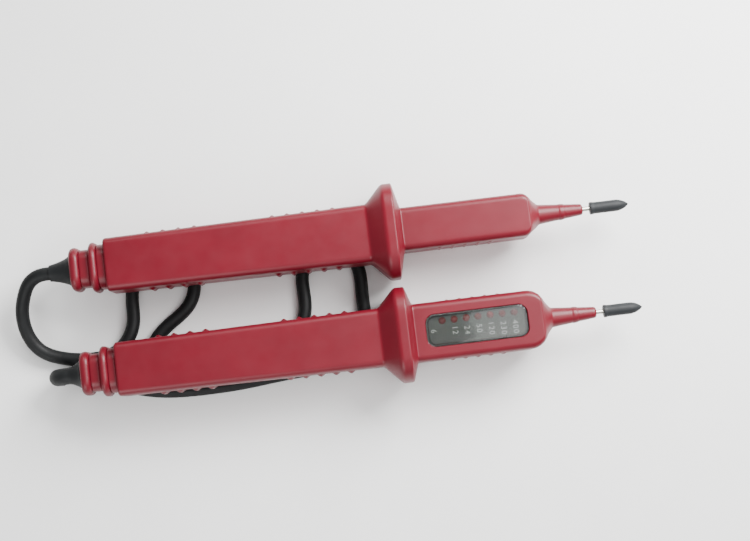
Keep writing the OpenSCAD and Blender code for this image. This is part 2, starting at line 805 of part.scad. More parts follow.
// The capacitor lies along the board, between the resistors and the chip
module board_capacitor() {
    color("#2b3a55") at_tester() translate([capacitor_x, 0, board_top_z]) {
        translate([0, 0, capacitor_d / 2]) rotate([0, 90, 0]) cylinder(h = capacitor_len, d = capacitor_d);
        for (side = [-1, 1])
            translate([capacitor_len, side * capacitor_d / 4, 0]) {
                translate([-resistor_wire_d, 0, capacitor_d / 2]) rotate([0, 90, 0])
                    cylinder(h = 3 * resistor_wire_d, d = resistor_wire_d);
                translate([3 * resistor_wire_d / 2, 0, 0])
                    cylinder(h = capacitor_d / 2, d = resistor_wire_d);
            }
    }
}

// Test pin: a rod with a collar that the nose traps, and a pointed end in the cap
module pin() {
    r = pin_d / 2;
    tip_x = cap_x + pin_in_cap;
    turned([
        [pin_tail_x, 0], [pin_tail_x, r], [collar_x, r], [collar_x, collar_d / 2],
        [collar_x + collar_len, collar_d / 2], [collar_x + collar_len, r],
        [tip_x - pin_point, r], [tip_x, 0]
    ]);
}

module tester_pin() {
    color("#c9ccc8") at_tester() pin();
}

module probe_pin() {
    color("#c9ccc8") at_probe() pin();
}

// Wire from the display handle's pin to the underside of its board
module tester_pin_wire() {
    end_x = board_front_x - pillar_inset;
    color("#d8402f") at_tester() tube([
        [pin_tail_x, 0, 0], [pin_tail_x - wire_bend / 2, 0, 0],
        [board_front_x, 0, wire_under_z / 2], [end_x + wire_bend / 2, 0, wire_under_z],
        [end_x, 0, wire_under_z]
    ], wire_r, wire_sides, -ALONG, -ALONG);
}

// Wire from the plain handle's pin, past the front screw, to the resistor board
module probe_pin_wire() {
    color("#d8402f") at_probe() tube([
        [pin_tail_x, 0, 0], [pin_tail_x - wire_bend, 0, 0],
        [front_screw_at + 3 * wire_bend, 0, 0],
        [front_screw_at + 2 * wire_bend, -wire_side / 3, 0],
        [front_screw_at + wire_bend, -wire_side, 0], [front_screw_at, -wire_side, 0],
        [front_screw_at - wire_bend, -wire_side, 0],
        [-probe_board_front + wire_bend / 3, -pillar_side, wire_under_z / 2],
        [-probe_board_front - wire_bend / 3, -pillar_side, wire_under_z],
        [-probe_board_front - pillar_inset / 2, -pillar_side, wire_under_z]
    ], wire_r, wire_sides, -ALONG, -ALONG);
}

// The lead's end in a handle: its jacket, from a place in the boot on through the clamp
module lead_end(from_x) {
    turned([
        [from_x, 0], [from_x, lead_d / 2],
        [jacket_end_x, lead_d / 2], [jacket_end_x, 0]
    ]);
}

// Turns a section down and back under the handle, along the elbow of the display handle's boot
module elbow() {
    translate([elbow_x, 0, -elbow_r]) rotate([90, -90, 0])
        rotate_extrude(angle = elbow_angle) translate([elbow_r, 0]) children();
}

// The lead's core from the end of the jacket, past two screws, to the underside of a board
module core_wire(board_x) {
    tail_screw_x = SCREW_PLACES[0];
    tube([
        [jacket_end_x, 0, 0], [jacket_end_x + wire_d, 0, 0],
        [jacket_end_x + wire_bend, wire_side / 2, 0],
        [tail_screw_x - wire_bend / 4, wire_side, 0],
        [tail_screw_x + wire_bend, wire_side, 0],
        [-middle_screw_at - wire_bend, wire_side, 0], [-middle_screw_at, wire_side, 0],
        [board_x - wire_bend / 3, wire_side, wire_under_z / 2],
        [board_x + wire_bend / 3, pillar_side, wire_under_z],
        [board_x + pillar_inset / 2, pillar_side, wire_under_z]
    ], wire_r, wire_sides, ALONG, ALONG);
}

module tester_lead_end() {
    color("#22272b") at_tester() {
        lead_end(elbow_x);
        elbow() circle(lead_d / 2);
    }
}

module tester_core_wire() {
    color("#3a4a8c") at_tester() core_wire(-board_back);
}

module probe_lead_end() {
    color("#22272b") at_probe() lead_end(boot_end_x);
}

module probe_core_wire() {
    color("#3a4a8c") at_probe() core_wire(-probe_board_back);
}

// Rubber boot: a tapered sleeve of a given length, a neck in the tail wall and a flange inside
module boot(length) {
    end_x = tail_x - length;
    neck_end_x = flange_x + pin_fit;
    turned([
        [end_x, boot_bore_r], [end_x, boot_end_d / 2],
        [end_x + length / 3, boot_end_d / 2 + (boot_base_d - boot_end_d) / 12],
        [end_x + 2 * length / 3, boot_end_d / 2 + (boot_base_d - boot_end_d) / 4],
        [tail_x - length / 10, boot_base_d / 2 - length / 20],
        [tail_x, boot_base_d / 2], [tail_x, boot_neck_d / 2],
        [neck_end_x, boot_neck_d / 2], [neck_end_x, boot_flange_d / 2],
        [neck_end_x + boot_flange_len, boot_flange_d / 2], [neck_end_x + boot_flange_len, boot_bore_r]
    ]);
}

module tester_lead_boot() {
    color("#24272a") at_tester() {
        boot(elbow_at);
        elbow() difference() {
            circle(boot_end_d / 2);
            circle(boot_bore_r);
        }
    }
}

module probe_lead_boot() {
    color("#24272a") at_probe() boot(boot_len);
}

// Block that grips the lead's jacket and fills the tail of the handle
module clamp() {
    difference() {
        bar(clamp_x, clamp_len, tail_room_w - 2 * fit, tail_room_h - 2 * fit, tail_corner_r - wall);
        turned([
            [clamp_x - over, 0], [clamp_x - over, boot_bore_r],
            [clamp_x + clamp_len + over, boot_bore_r], [clamp_x + clamp_len + over, 0]
        ]);
    }
}

module tester_lead_clamp() {
    color("#3a3d40") at_tester() clamp();
}

module probe_lead_clamp() {
    color("#3a3d40") at_probe() clamp();
}

// Case screw with its head towards the back of the handle
module screw() {
    difference() {
        union() {
            cylinder(h = screw_len, d = screw_d);
            translate([0, 0, -screw_head_h]) cylinder(h = screw_head_h, d = screw_head_d);
        }
        for (turn = [0, 90])
            rotate([0, 0, turn]) translate([-slot_len / 2, -slot_w / 2, -screw_head_h - over])
                cube([slot_len, slot_w, slot_depth + over]);
    }
}

module screw_set() {
    for (x = SCREW_PLACES) translate([x, 0, -screw_seat]) screw();
}

module tester_screws() {
    color("#b9bcc0") at_tester() screw_set();
}

module probe_screws() {
    color("#b9bcc0") at_probe() screw_set();
}

// Push-on cap: a lipped sleeve that closes to a blunt point, with a blind bore for the pin
module cap() {
    bore_r = pin_d / 2 + pin_fit;
    bore_end_x = cap_x + pin_in_cap + pin_point / 4;
    point_x = cap_tip_x - cap_point;
    drop = cap_d / 2 - cap_tip_r;
    turned(concat(
        [
            [cap_x, bore_r], [cap_x, cap_lip_d / 2], [cap_x + cap_lip_len, cap_lip_d / 2],
            [cap_x + 3 * cap_lip_len / 2, cap_d / 2]
        ],
        [for (i = [0 : arc_steps]) let (s = i / arc_steps) [
            point_x + (cap_point - cap_tip_r) * s, cap_d / 2 - drop * s * s
        ]],
        [[cap_tip_x, cap_tip_r / 2], [cap_tip_x, 0], [bore_end_x, 0], [bore_end_x - pin_point / 4, bore_r]]
    ));
}

module tester_cap() {
    color("#2c2e30") at_tester() cap();
}

module probe_cap() {
    color("#2c2e30") at_probe() cap();
}

module lead_bend() {
    color("#1c2226") tube(BEND_ROUTE, lead_d / 2, lead_sides, -ALONG, MEETING);
}

module lead_run() {
    color("#1c2226") tube(
        concat(RUN_ROUTE, [BOOT_MOUTH]), lead_d / 2, lead_sides, MEETING, INTO_MOUTH
    );
}

tester_front_shell();
tester_back_shell();
display_window();
scale_plate();
indicator_lamps();
circuit_board();
board_resistors();
board_chip();
board_capacitor();
tester_pin();
tester_pin_wire();
tester_lead_boot();
tester_lead_clamp();
tester_lead_end();
tester_core_wire();
tester_screws();
tester_cap();
probe_front_shell();
probe_back_shell();
resistor_board();
series_resistors();
probe_pin();
probe_pin_wire();
probe_lead_boot();
probe_lead_clamp();
probe_lead_end();
probe_core_wire();
probe_screws();
probe_cap();
lead_run();
lead_bend();
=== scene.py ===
import json
import math
import bmesh
import bpy
import numpy as np
from mathutils import Matrix, Vector

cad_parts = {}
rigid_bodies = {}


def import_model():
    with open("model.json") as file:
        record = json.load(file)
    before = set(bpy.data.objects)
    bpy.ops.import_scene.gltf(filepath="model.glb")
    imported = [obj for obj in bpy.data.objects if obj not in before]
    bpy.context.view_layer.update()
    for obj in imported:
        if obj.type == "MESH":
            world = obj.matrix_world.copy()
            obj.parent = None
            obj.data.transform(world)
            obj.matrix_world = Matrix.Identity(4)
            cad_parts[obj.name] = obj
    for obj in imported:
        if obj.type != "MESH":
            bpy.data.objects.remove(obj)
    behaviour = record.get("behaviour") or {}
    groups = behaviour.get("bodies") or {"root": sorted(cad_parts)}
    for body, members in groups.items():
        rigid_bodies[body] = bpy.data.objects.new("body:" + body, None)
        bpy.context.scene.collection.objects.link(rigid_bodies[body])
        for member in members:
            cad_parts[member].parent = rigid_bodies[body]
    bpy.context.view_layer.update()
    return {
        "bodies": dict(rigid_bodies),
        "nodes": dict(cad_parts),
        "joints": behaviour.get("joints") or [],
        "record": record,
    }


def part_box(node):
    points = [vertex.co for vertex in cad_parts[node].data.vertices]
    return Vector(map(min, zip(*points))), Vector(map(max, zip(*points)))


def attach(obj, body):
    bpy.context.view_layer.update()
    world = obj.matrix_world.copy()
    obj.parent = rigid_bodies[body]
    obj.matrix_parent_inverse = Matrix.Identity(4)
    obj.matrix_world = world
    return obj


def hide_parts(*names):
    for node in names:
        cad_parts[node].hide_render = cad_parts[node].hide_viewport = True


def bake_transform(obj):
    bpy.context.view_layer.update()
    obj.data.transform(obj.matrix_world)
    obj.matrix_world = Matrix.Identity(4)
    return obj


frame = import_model()
mm = 0.001
hair = 0.01  # keeps a cut clear of the face that it meets, in millimetres
print("frame loaded:", len(frame["nodes"]), "nodes")


# a CAD node's corners in millimetres, as two arrays
def boxOf(node):
    low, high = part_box(node)
    return np.array(low) / mm, np.array(high) / mm


# sRGB hex to the linear values that the shaders take
def linear(hexColour):
    channels = np.array([int(hexColour[i:i + 2], 16) for i in (1, 3, 5)]) / 255
    bright = ((channels + 0.055) / 1.055) ** 2.4
    return (*np.where(channels <= 0.04045, channels / 12.92, bright).tolist(), 1.0)


# the photo looks nearly straight down on the pair, turned a little to the left
cameraView = {
    "place": (0.010, -0.050, 0.679), "target": (0.0141, 0.0086, 0.0),
    "turn": 6.9, "lens": 72.0, "sensor": 36.0,
}


# the camera looks from its place to the target, with the picture's upright turned from +Y
def makeCamera(view):
    place, target = Vector(view["place"]), Vector(view["target"])
    turn = math.radians(view["turn"])
    ahead = (target - place).normalized()
    right = ahead.cross(Vector((math.sin(turn), math.cos(turn), 0))).normalized()
    turned = Matrix((right, right.cross(ahead), -ahead)).transposed().to_4x4()
    camera = bpy.data.objects.new("camera", bpy.data.cameras.new("camera"))
    camera.data.lens, camera.data.sensor_width = view["lens"], view["sensor"]
    camera.matrix_world = Matrix.Translation(place) @ turned
    bpy.context.scene.collection.objects.link(camera)
    bpy.context.scene.camera = camera


makeCamera(cameraView)
print("camera placed")


# one node with its settings: node properties or inputs by name or number, then (input, node, output) links
def addNode(tree, kind, settings, *links):
    node = tree.nodes.new(kind)
    for name, value in settings.items():
        if isinstance(name, str) and hasattr(node, name):
            setattr(node, name, value)
        else:
            node.inputs[name].default_value = value
    for socket, source, output in links:
        tree.links.new(source.outputs[output], node.inputs[socket])
    return node


# a Principled material and its Object coordinates, from which every pattern here starts
def newMaterial(name, settings):
    material = bpy.data.materials.new(name)
    material.use_nodes = True
    tree = material.node_tree
    shader = tree.nodes["Principled BSDF"]
    for socket, value in settings.items():
        shader.inputs[socket].default_value = value
    return material, tree, shader, addNode(tree, "ShaderNodeTexCoord", {})


# bump of one noise: grain size and depth in millimetres
def addGrain(tree, shader, coordinates, size, depth):
    grain = addNode(
        tree, "ShaderNodeTexNoise", {"Scale": 1 / (size * mm), "Detail": 2.0, "Roughness": 0.55},
        ("Vector", coordinates, "Object"),
    )
    bump = addNode(
        tree, "ShaderNodeBump", {"Distance": depth * mm, "Strength": 1.0}, ("Height", grain, "Fac"),
    )
    tree.links.new(bump.outputs["Normal"], shader.inputs["Normal"])


# a soft patchwork: noise of the given size in millimetres, its middle band spread between two values
# or two colours; it returns the node and its output
def addPatches(tree, coordinates, size, low, high, stretch=(1, 1, 1)):
    placed = addNode(tree, "ShaderNodeMapping", {"Scale": stretch}, ("Vector", coordinates, "Object"))
    noise = addNode(
        tree, "ShaderNodeTexNoise", {"Scale": 1 / (size * mm), "Detail": 4.0, "Roughness": 0.6},
        ("Vector", placed, 0),
    )
    spread = {"From Min": 0.3, "From Max": 0.7}
    if isinstance(low, str):
        share = addNode(tree, "ShaderNodeMapRange", spread, ("Value", noise, "Fac"))
        mix = {"data_type": "RGBA", 6: linear(low), 7: linear(high)}
        return addNode(tree, "ShaderNodeMix", mix, (0, share, 0)), 2
    spread.update({"To Min": low, "To Max": high})
    return addNode(tree, "ShaderNodeMapRange", spread, ("Value", noise, "Fac")), 0


# links a node and its output to a socket of the shader
def joinTo(tree, shader, socket, source):
    tree.links.new(source[0].outputs[source[1]], shader.inputs[socket])


# a Principled material with patches of colour and of roughness, both as (size, from, to), and with grain
# as (size, depth), in millimetres
def patchyMaterial(name, settings, colour, roughness, grain=None):
    material, tree, shader, coordinates = newMaterial(name, settings)
    joinTo(tree, shader, "Base Color", addPatches(tree, coordinates, *colour))
    joinTo(tree, shader, "Roughness", addPatches(tree, coordinates, *roughness))
    if grain:
        addGrain(tree, shader, coordinates, *grain)
    return material


# ABS moulded in a spark-eroded tool: even satin red, fine grain, slightly uneven gloss
def mouldedAbs():
    settings, colour = {"IOR": 1.53, "Specular IOR Level": 0.34}, (24, "#600819", "#680c1d")
    return patchyMaterial("redMouldedAbs", settings, colour, (7, 0.33, 0.42), (0.45, 0.012))


# cast acrylic with a smoke tint: polished, with faint handling haze
def smokedAcrylic():
    material, tree, shader, coordinates = newMaterial("smokedAcrylic", {
        "IOR": 1.49, "Specular IOR Level": 0.3, "Transmission Weight": 1.0, "Base Color": linear("#c4c7c4"),
    })
    joinTo(tree, shader, "Roughness", addPatches(tree, coordinates, 5, 0.05, 0.08))
    return material


# screen-printed black frame on the back of the window: dull ink that hides the ledge
def frameInk():
    return patchyMaterial("windowFrameInk", {"IOR": 1.5}, (3, "#232625", "#2b2e2d"), (2, 0.5, 0.62))


# matt polycarbonate film, printed grey, which the smoke tint above it darkens
def printedFilm():
    colour, roughness = (4, "#6a6c69", "#727471"), (1.5, 0.55, 0.7)
    return patchyMaterial("darkPrintedFilm", {"IOR": 1.58}, colour, roughness, (0.12, 0.004))


# off-white printing ink, a little uneven where the screen lifts
def numberInk():
    return patchyMaterial("paleNumberInk", {"IOR": 1.5}, (0.6, "#f4f5f2", "#fcfcfa"), (0.8, 0.5, 0.65))


# diffused red epoxy of an unlit indicator lamp
def lampEpoxy():
    settings = {"IOR": 1.55, "Subsurface Weight": 0.3, "Subsurface Scale": 1.0 * mm}
    return patchyMaterial("redLampEpoxy", settings, (1.2, "#9d3a3c", "#ae4e4e"), (0.8, 0.18, 0.28))


# black PVC, moulded soft: satin, fine grain, faint grey scuffs
def blackPvc(name, dark, light, low, high):
    settings = {"IOR": 1.5, "Specular IOR Level": 0.28}
    return patchyMaterial(name, settings, (9, dark, light), (4, low, high), (0.35, 0.01))


# turned brass under dull nickel: fine rings round the pin, a warm grey metal
def nickelledBrass():
    rings = (0.3, 0.2, 0.34, (1, 0.02, 0.02))
    return patchyMaterial("nickelledBrass", {"Metallic": 1.0}, (1.5, "#b9b7ae", "#cfcdc4"), rings)


# pressed steel under clear zinc: light bluish metal with a cloudy spangle
def zincedSteel():
    return patchyMaterial("zincedSteel", {"Metallic": 1.0}, (0.8, "#a9adb1", "#c3c7cb"), (0.5, 0.28, 0.42))


# the sealed inner parts: glass-epoxy board, lacquered and moulded components, insulated wire
def innerFinish(name, dark, light, roughness, size):
    gloss = (size / 2, roughness, roughness + 0.12)
    return patchyMaterial(name, {"IOR": 1.5}, (size, dark, light), gloss, (0.2, 0.005))


redAbs, acrylic, frameBlack, film, ink = mouldedAbs(), smokedAcrylic(), frameInk(), printedFilm(), numberInk()
epoxy, brass, steel = lampEpoxy(), nickelledBrass(), zincedSteel()
jacketPvc = blackPvc("blackPvcJacket", "#08090a", "#0e1011", 0.5, 0.62)
bootPvc = blackPvc("blackPvcBoot", "#0f1112", "#161819", 0.5, 0.62)
capPvc = blackPvc("blackPvcCap", "#1c1e20", "#26282a", 0.48, 0.6)
print("materials made:", len(bpy.data.materials))


# a closed mesh from whole arrays in millimetres: doubles merged, faces outwards, smooth up to the angle
def makePiece(name, points, faces, material, angle=32):
    mesh = bpy.data.meshes.new(name)
    corners = [face for block in faces for face in np.asarray(block).tolist()]
    mesh.from_pydata(np.asarray(points) * mm, [], corners)
    work = bmesh.new()
    work.from_mesh(mesh)
    bmesh.ops.remove_doubles(work, verts=work.verts, dist=0.001 * mm)
    loose = [edge for edge in work.edges if not edge.link_faces]
    bmesh.ops.delete(work, geom=loose, context="EDGES")
    bmesh.ops.recalc_face_normals(work, faces=work.faces)
    work.to_mesh(mesh)
    work.free()
    mesh.materials.append(material)
    piece = bpy.data.objects.new(name, mesh)
    bpy.context.scene.collection.objects.link(piece)
    smoothPiece(piece, angle)
    return piece


# smooth shading, with edges kept sharp where two faces meet at more than the angle in degrees
def smoothPiece(piece, angle=32):
    mesh = piece.data
    mesh.polygons.foreach_set("use_smooth", np.ones(len(mesh.polygons), bool))
    mesh.set_sharp_from_angle(angle=math.radians(angle))
    mesh.update()


# quads between closed rings that follow each other
def gridFaces(rings, columns):
    ring = np.arange(rings - 1)[:, None] * columns
    column = np.arange(columns)[None, :]
    following = (column + 1) % columns
    corners = [ring + column, ring + following, ring + columns + following, ring + columns + column]
    return np.stack(corners, -1).reshape(-1, 4)


# cuts, joins or trims a piece with others, which are then removed
def combine(piece, operation, others):
    for other in others:
        change = piece.modifiers.new("change", "BOOLEAN")
        change.operation, change.object, change.solver = operation, other, "MANIFOLD"
    bpy.context.view_layer.update()
    shown = piece.evaluated_get(bpy.context.evaluated_depsgraph_get())
    changed = bpy.data.meshes.new_from_object(shown)
    piece.modifiers.clear()
    piece.data = changed
    for other in others:
        bpy.data.objects.remove(other)
    smoothPiece(piece)


# attaches a finished piece to its body, and hides the nodes that it stands for
def settle(piece, slot, body, *nodes):
    if nodes:
        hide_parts(*nodes)
    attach(piece, body)


# corners of a profile as (along, radius, reach): each is cut back by its reach on both sides, and a
# quadratic curve joins cut to cut
def softCorners(corners, steps=6):
    corners = np.array(corners, float)
    corners, reach = corners[:, :2], corners[:, 2:]
    before = np.roll(corners, 1, 0) - corners
    after = np.roll(corners, -1, 0) - corners
    start = corners + reach * before / np.linalg.norm(before, axis=1)[:, None]
    end = corners + reach * after / np.linalg.norm(after, axis=1)[:, None]
    t = np.linspace(0, 1, steps)[None, :, None]
    curve = (1 - t) ** 2 * start[:, None] + 2 * t * (1 - t) * corners[:, None] + t ** 2 * end[:, None]
    return curve.reshape(-1, 2)


# a profile of (along, radius) pairs turned round an axis, once through each centre;
# it starts and ends on the axis, or else its last ring meets its first
def turnedSolid(name, profile, centres, material, upright=False, steps=64):
    profile = np.array(profile, float)
    turn = np.linspace(0, 2 * np.pi, steps, endpoint=False)
    along = np.repeat(profile[:, :1], steps, 1)
    first, second = profile[:, 1:] * np.cos(turn), profile[:, 1:] * np.sin(turn)
    order = (first, second, along) if upright else (along, first, second)
    solid = np.stack(order, -1).reshape(-1, 3)
    points = (np.array(centres, float).reshape(-1, 1, 3) + solid).reshape(-1, 3)
    faces = gridFaces(len(profile), steps)
    if profile[0, 1] > 0:
        faces = np.concatenate([faces, (gridFaces(2, steps) + len(solid) - steps) % len(solid)])
    return makePiece(name, points, [faces + start for start in range(0, len(points), len(solid))], material)


# outline of a rounded rectangle as corner centres and outward directions, so that it can be offset
def roundedOutline(centre, halfLength, halfWidth, radius, steps=14):
    turn = (np.linspace(0, np.pi / 2, steps)[None, :] + np.arange(4)[:, None] * np.pi / 2).reshape(-1)
    directions = np.stack([np.cos(turn), np.sin(turn)], -1)
    signs = np.repeat([[1, 1], [-1, 1], [-1, -1], [1, -1]], steps, 0)
    centres = np.array(centre) + signs * (np.array([halfLength, halfWidth]) - radius)
    return centres, directions, radius


# a flat solid over an outline, through levels of (offset, height): closed above and below, or a hollow frame
def outlineSolid(name, outline, levels, material, frame=False):
    centres, directions, radius = outline
    levels = np.array(levels, float)
    flat = centres[None] + (radius + levels[:, 0])[:, None, None] * directions[None]
    heights = np.repeat(levels[:, 1:, None], len(centres), 1)
    points = np.concatenate([flat, heights], -1).reshape(-1, 3)
    count = len(centres)
    if frame:
        ends = [(gridFaces(2, count) + len(points) - count) % len(points)]
    else:
        ends = [np.arange(count)[None, ::-1], np.arange(count)[None] + len(points) - count]
    return makePiece(name, points, [gridFaces(len(levels), count), *ends], material)


# the handles, in millimetres; places along x follow from the tail end of the CAD shell
handleSizes = {
    "endRing": (4.3, 19.4, 18.0), "endGroove": (4.3, 16.6, 15.4),  # length, width, height
    "neckRing": (3.8, 22.2, 20.6), "neckGroove": (3.6, 19.6, 18.2), "tailCorner": 4.6, "crease": 0.4,
    "gripLength": 116.1, "gripTailWidth": 23.5, "gripWidth": 25.5, "gripHeight": 22.0,
    "gripCorner": 3.2, "gripEnd": 1.2, "gripGap": 0.03,  # the last one parts the grip from the tail
    "rearRamp": 7.6, "crest": 4.6, "frontRamp": 2.6, "guardHeight": 36.0, "guardCorner": 12.0,
    "frontWidth": {"tester": 25.6, "probe": 19.0}, "frontHeight": 20.0, "frontCorner": 3.0,
    "planCorner": {"tester": 8.0, "probe": 4.0}, "shoulder": 4.6, "bevelAngle": 50.0, "roundFrom": 1.0,
    "noseLength": 19.9, "noseBase": 8.8, "noseEnd": 4.8, "noseTip": 1.0,
    "noseRingAt": 9.6, "noseRing": (1.8, 0.22),  # its length and how far it stands out
    "ridge": (2.5, 1.15), "frontRidge": (1.7, 0.55),  # half its length and how far it stands out
    "ridgeHeight": 5.0, "ridgeRound": 0.32,  # the last one is the share of the height that is rounded
    "tailRidgeAt": 19.0, "tailRidges": 4, "tailRidgePitch": 7.0,
    "guardRidgeAt": 14.7, "guardRidges": 5, "guardRidgePitch": 6.7,
    "frontRidgeAt": 15.6, "frontRidges": 5, "frontRidgePitch": 5.6,
    "wall": 2.0, "faceWall": 2.4, "bootHole": 8.8, "pinHole": 2.1, "wallStep": 0.04, "leastSide": 0.6,
    "seamDepth": 0.2, "seamHalf": 0.36,
    "screwAt": (12.0, -57.0, 7.5),  # the first from the grip's tail end, the others from the crest's middle
    "screwBore": 3.4, "threadBore": 3.0, "threadDepth": 5.0,
    "headBore": 5.8, "headChamfer": 0.35, "seat": 6.5, "overrun": 1.0, "headOverrun": 9.0,
    "post": {"front": 5.5, "back": 8.4}, "postCover": 1.0,
    "steps": (0.3, 1.0, 3.0),  # spacing of the stations where the form turns, tapers and runs straight
    "softening": (  # how far the outline is softened, at a place and a shift from it
        ("gripFront", -2.0, 0.3), ("gripFront", 0.0, 1.0), ("crestRear", 0.0, 1.6),
        ("crestFront", 0.0, 0.6), ("front", 0.0, 0.5), ("shoulder", -1.0, 0.3),
        ("shoulder", 0.0, 0.35), ("nose", 0.0, 0.8), ("nose", 2.0, 0.8),
    ),
}

tailRings = ["endRing", "endGroove", "neckRing", "neckGroove"]


# the places along one handle, from its tail to the end of its nose
def handlePlaces(sizes, shell):
    low, high = boxOf(shell)
    names = [*tailRings, "gripRear", "gripFront", "crestRear", "crestFront", "front"]
    steps = [
        low[0], *(sizes[name][0] for name in tailRings),
        sizes["gripLength"], sizes["rearRamp"], sizes["crest"], sizes["frontRamp"],
    ]
    places = dict(zip(names, np.cumsum(steps)))
    places["tail"], places["end"] = low[0], high[0]
    places["nose"] = places["end"] - sizes["noseLength"]
    places["shoulder"] = places["nose"] - sizes["shoulder"]
    places["middle"] = (places["crestRear"] + places["crestFront"]) / 2
    places["halfGuard"] = (high[1] - low[1]) / 2
    fromRear, *fromMiddle = sizes["screwAt"]
    places["screws"] = [places["gripRear"] + fromRear, *(places["middle"] + at for at in fromMiddle)]
    places["roomEnds"] = np.array([
        places["tail"] + sizes["wall"], places["gripRear"] + sizes["wall"], places["front"] - sizes["wall"],
        places["shoulder"] - 2 * sizes["wall"], places["shoulder"] + sizes["shoulder"] / 4,
    ])
    return places


# straight pieces between knots, each corner softened by a triangular average over a reach
def softened(x, knots, values, reach):
    steps = np.linspace(-1, 1, 21)
    weights = (1 - np.abs(steps)) / (1 - np.abs(steps)).sum()
    return np.interp(x[:, None] + steps * reach[:, None], knots, values) @ weights


# half width, half height and corner radius of the tail at x: four rings between creases, the two high ones
# half round, r = base + rise sqrt(1 - u^2), the two low ones flatter, with u^6, and all corners parallel
def tailForm(x, sizes, places):
    starts = np.array([places[name] for name in tailRings])
    rings = np.array([sizes[name] for name in tailRings])
    ring = np.clip(np.searchsorted(starts, x, "right") - 1, 0, 3)
    share = np.clip(2 * (x - starts[ring]) / rings[ring, 0] - 1, -1, 1)
    bulge = np.sqrt(1 - np.abs(share) ** np.where(ring % 2, 6, 2))
    low, high = rings[1] / 2 - sizes["crease"], rings[3] / 2 - sizes["crease"]
    rise = np.interp(x, [places["neckRing"], places["neckGroove"]], [0, 1])
    base = low[1:] + rise[:, None] * (high - low)[1:]
    halves = base + (rings[ring, 1:] / 2 - base) * bulge[:, None]
    return halves[:, 0], halves[:, 1], sizes["tailCorner"] + halves[:, 1] - low[2]


# how far the ridges stand out of the sides at x, out ((1 + cos(pi d / half)) / 2)^1.3 at d from a centre,
# and stations that follow them
def ridgeRise(x, sizes, places):
    def row(first, count, pitch):
        return first + np.arange(count) * pitch

    tail = row(places["gripRear"] + sizes["tailRidgeAt"], sizes["tailRidges"], sizes["tailRidgePitch"])
    guard = row(places["gripFront"] - sizes["guardRidgeAt"], sizes["guardRidges"], -sizes["guardRidgePitch"])
    front = row(places["front"] + sizes["frontRidgeAt"], sizes["frontRidges"], sizes["frontRidgePitch"])
    rise, stations = np.zeros_like(x), []
    grip = np.concatenate([tail, guard])
    for centres, (half, out) in ((grip, sizes["ridge"]), (front, sizes["frontRidge"])):
        away = np.clip(np.abs(x[:, None] - centres) / half, 0, 1)
        rise = np.maximum(rise, out * ((0.5 + 0.5 * np.cos(np.pi * away)) ** 1.3).max(1))
        stations.append((centres[:, None] + half * np.linspace(-1, 1, 17)).reshape(-1))
    return rise, np.concatenate(stations)


# stations along x, close together where the form turns
def handleStations(sizes, places):
    def ringStations(start, length):
        return start + length * (1 - np.cos(np.linspace(0, np.pi, 15))) / 2

    quarter = np.linspace(0, np.pi / 2, 8)
    turning, tapering, straight = sizes["steps"]
    runs = [  # from, to and spacing: the close ones reach a little past the guard and the shoulder
        (places["gripRear"] + 4, places["gripFront"] - 2, straight),
        (places["gripFront"] - 1.6, places["front"] + 1.8, turning),
        (places["front"] + 3, places["shoulder"] - 9, straight),
        (places["shoulder"] - 8, places["nose"] + 2.5, turning),
        (places["nose"] + 3, places["end"] - sizes["noseTip"], tapering),
    ]
    ringAt = places["nose"] + sizes["noseRingAt"]
    return np.unique(np.round(np.concatenate([
        *(ringStations(places[name], sizes[name][0]) for name in tailRings),
        *(np.arange(*run) for run in runs), [places["gripRear"] - sizes["gripGap"]],
        places["gripRear"] + sizes["gripEnd"] * (1 - np.cos(quarter)),
        ringAt + sizes["noseRing"][0] * np.linspace(-0.3, 1.3, 11),
        places["end"] - sizes["noseTip"] * (1 - np.sin(quarter)),
        places["roomEnds"], places["roomEnds"] + sizes["wallStep"], ridgeRise(np.zeros(1), sizes, places)[1],
    ]), 4))


# the plan corner before the bevel: a circle arc from the side to the bevel's angle, as knots of half widths
def planCorner(sizes, places, halfWidth, radius):
    turn = np.radians(np.linspace(0, sizes["bevelAngle"], 9))
    reach = math.sin(turn[-1])
    return places["shoulder"] - radius * (reach - np.sin(turn)), halfWidth - radius * (1 - np.cos(turn))


# how deep a rounded edge of a radius cuts in at a distance from its end: r (1 - sqrt(1 - (1 - d / r)^2))
def roundedEnd(distance, radius):
    return radius * (1 - np.sqrt(1 - np.clip(1 - distance / radius, 0, 1) ** 2))


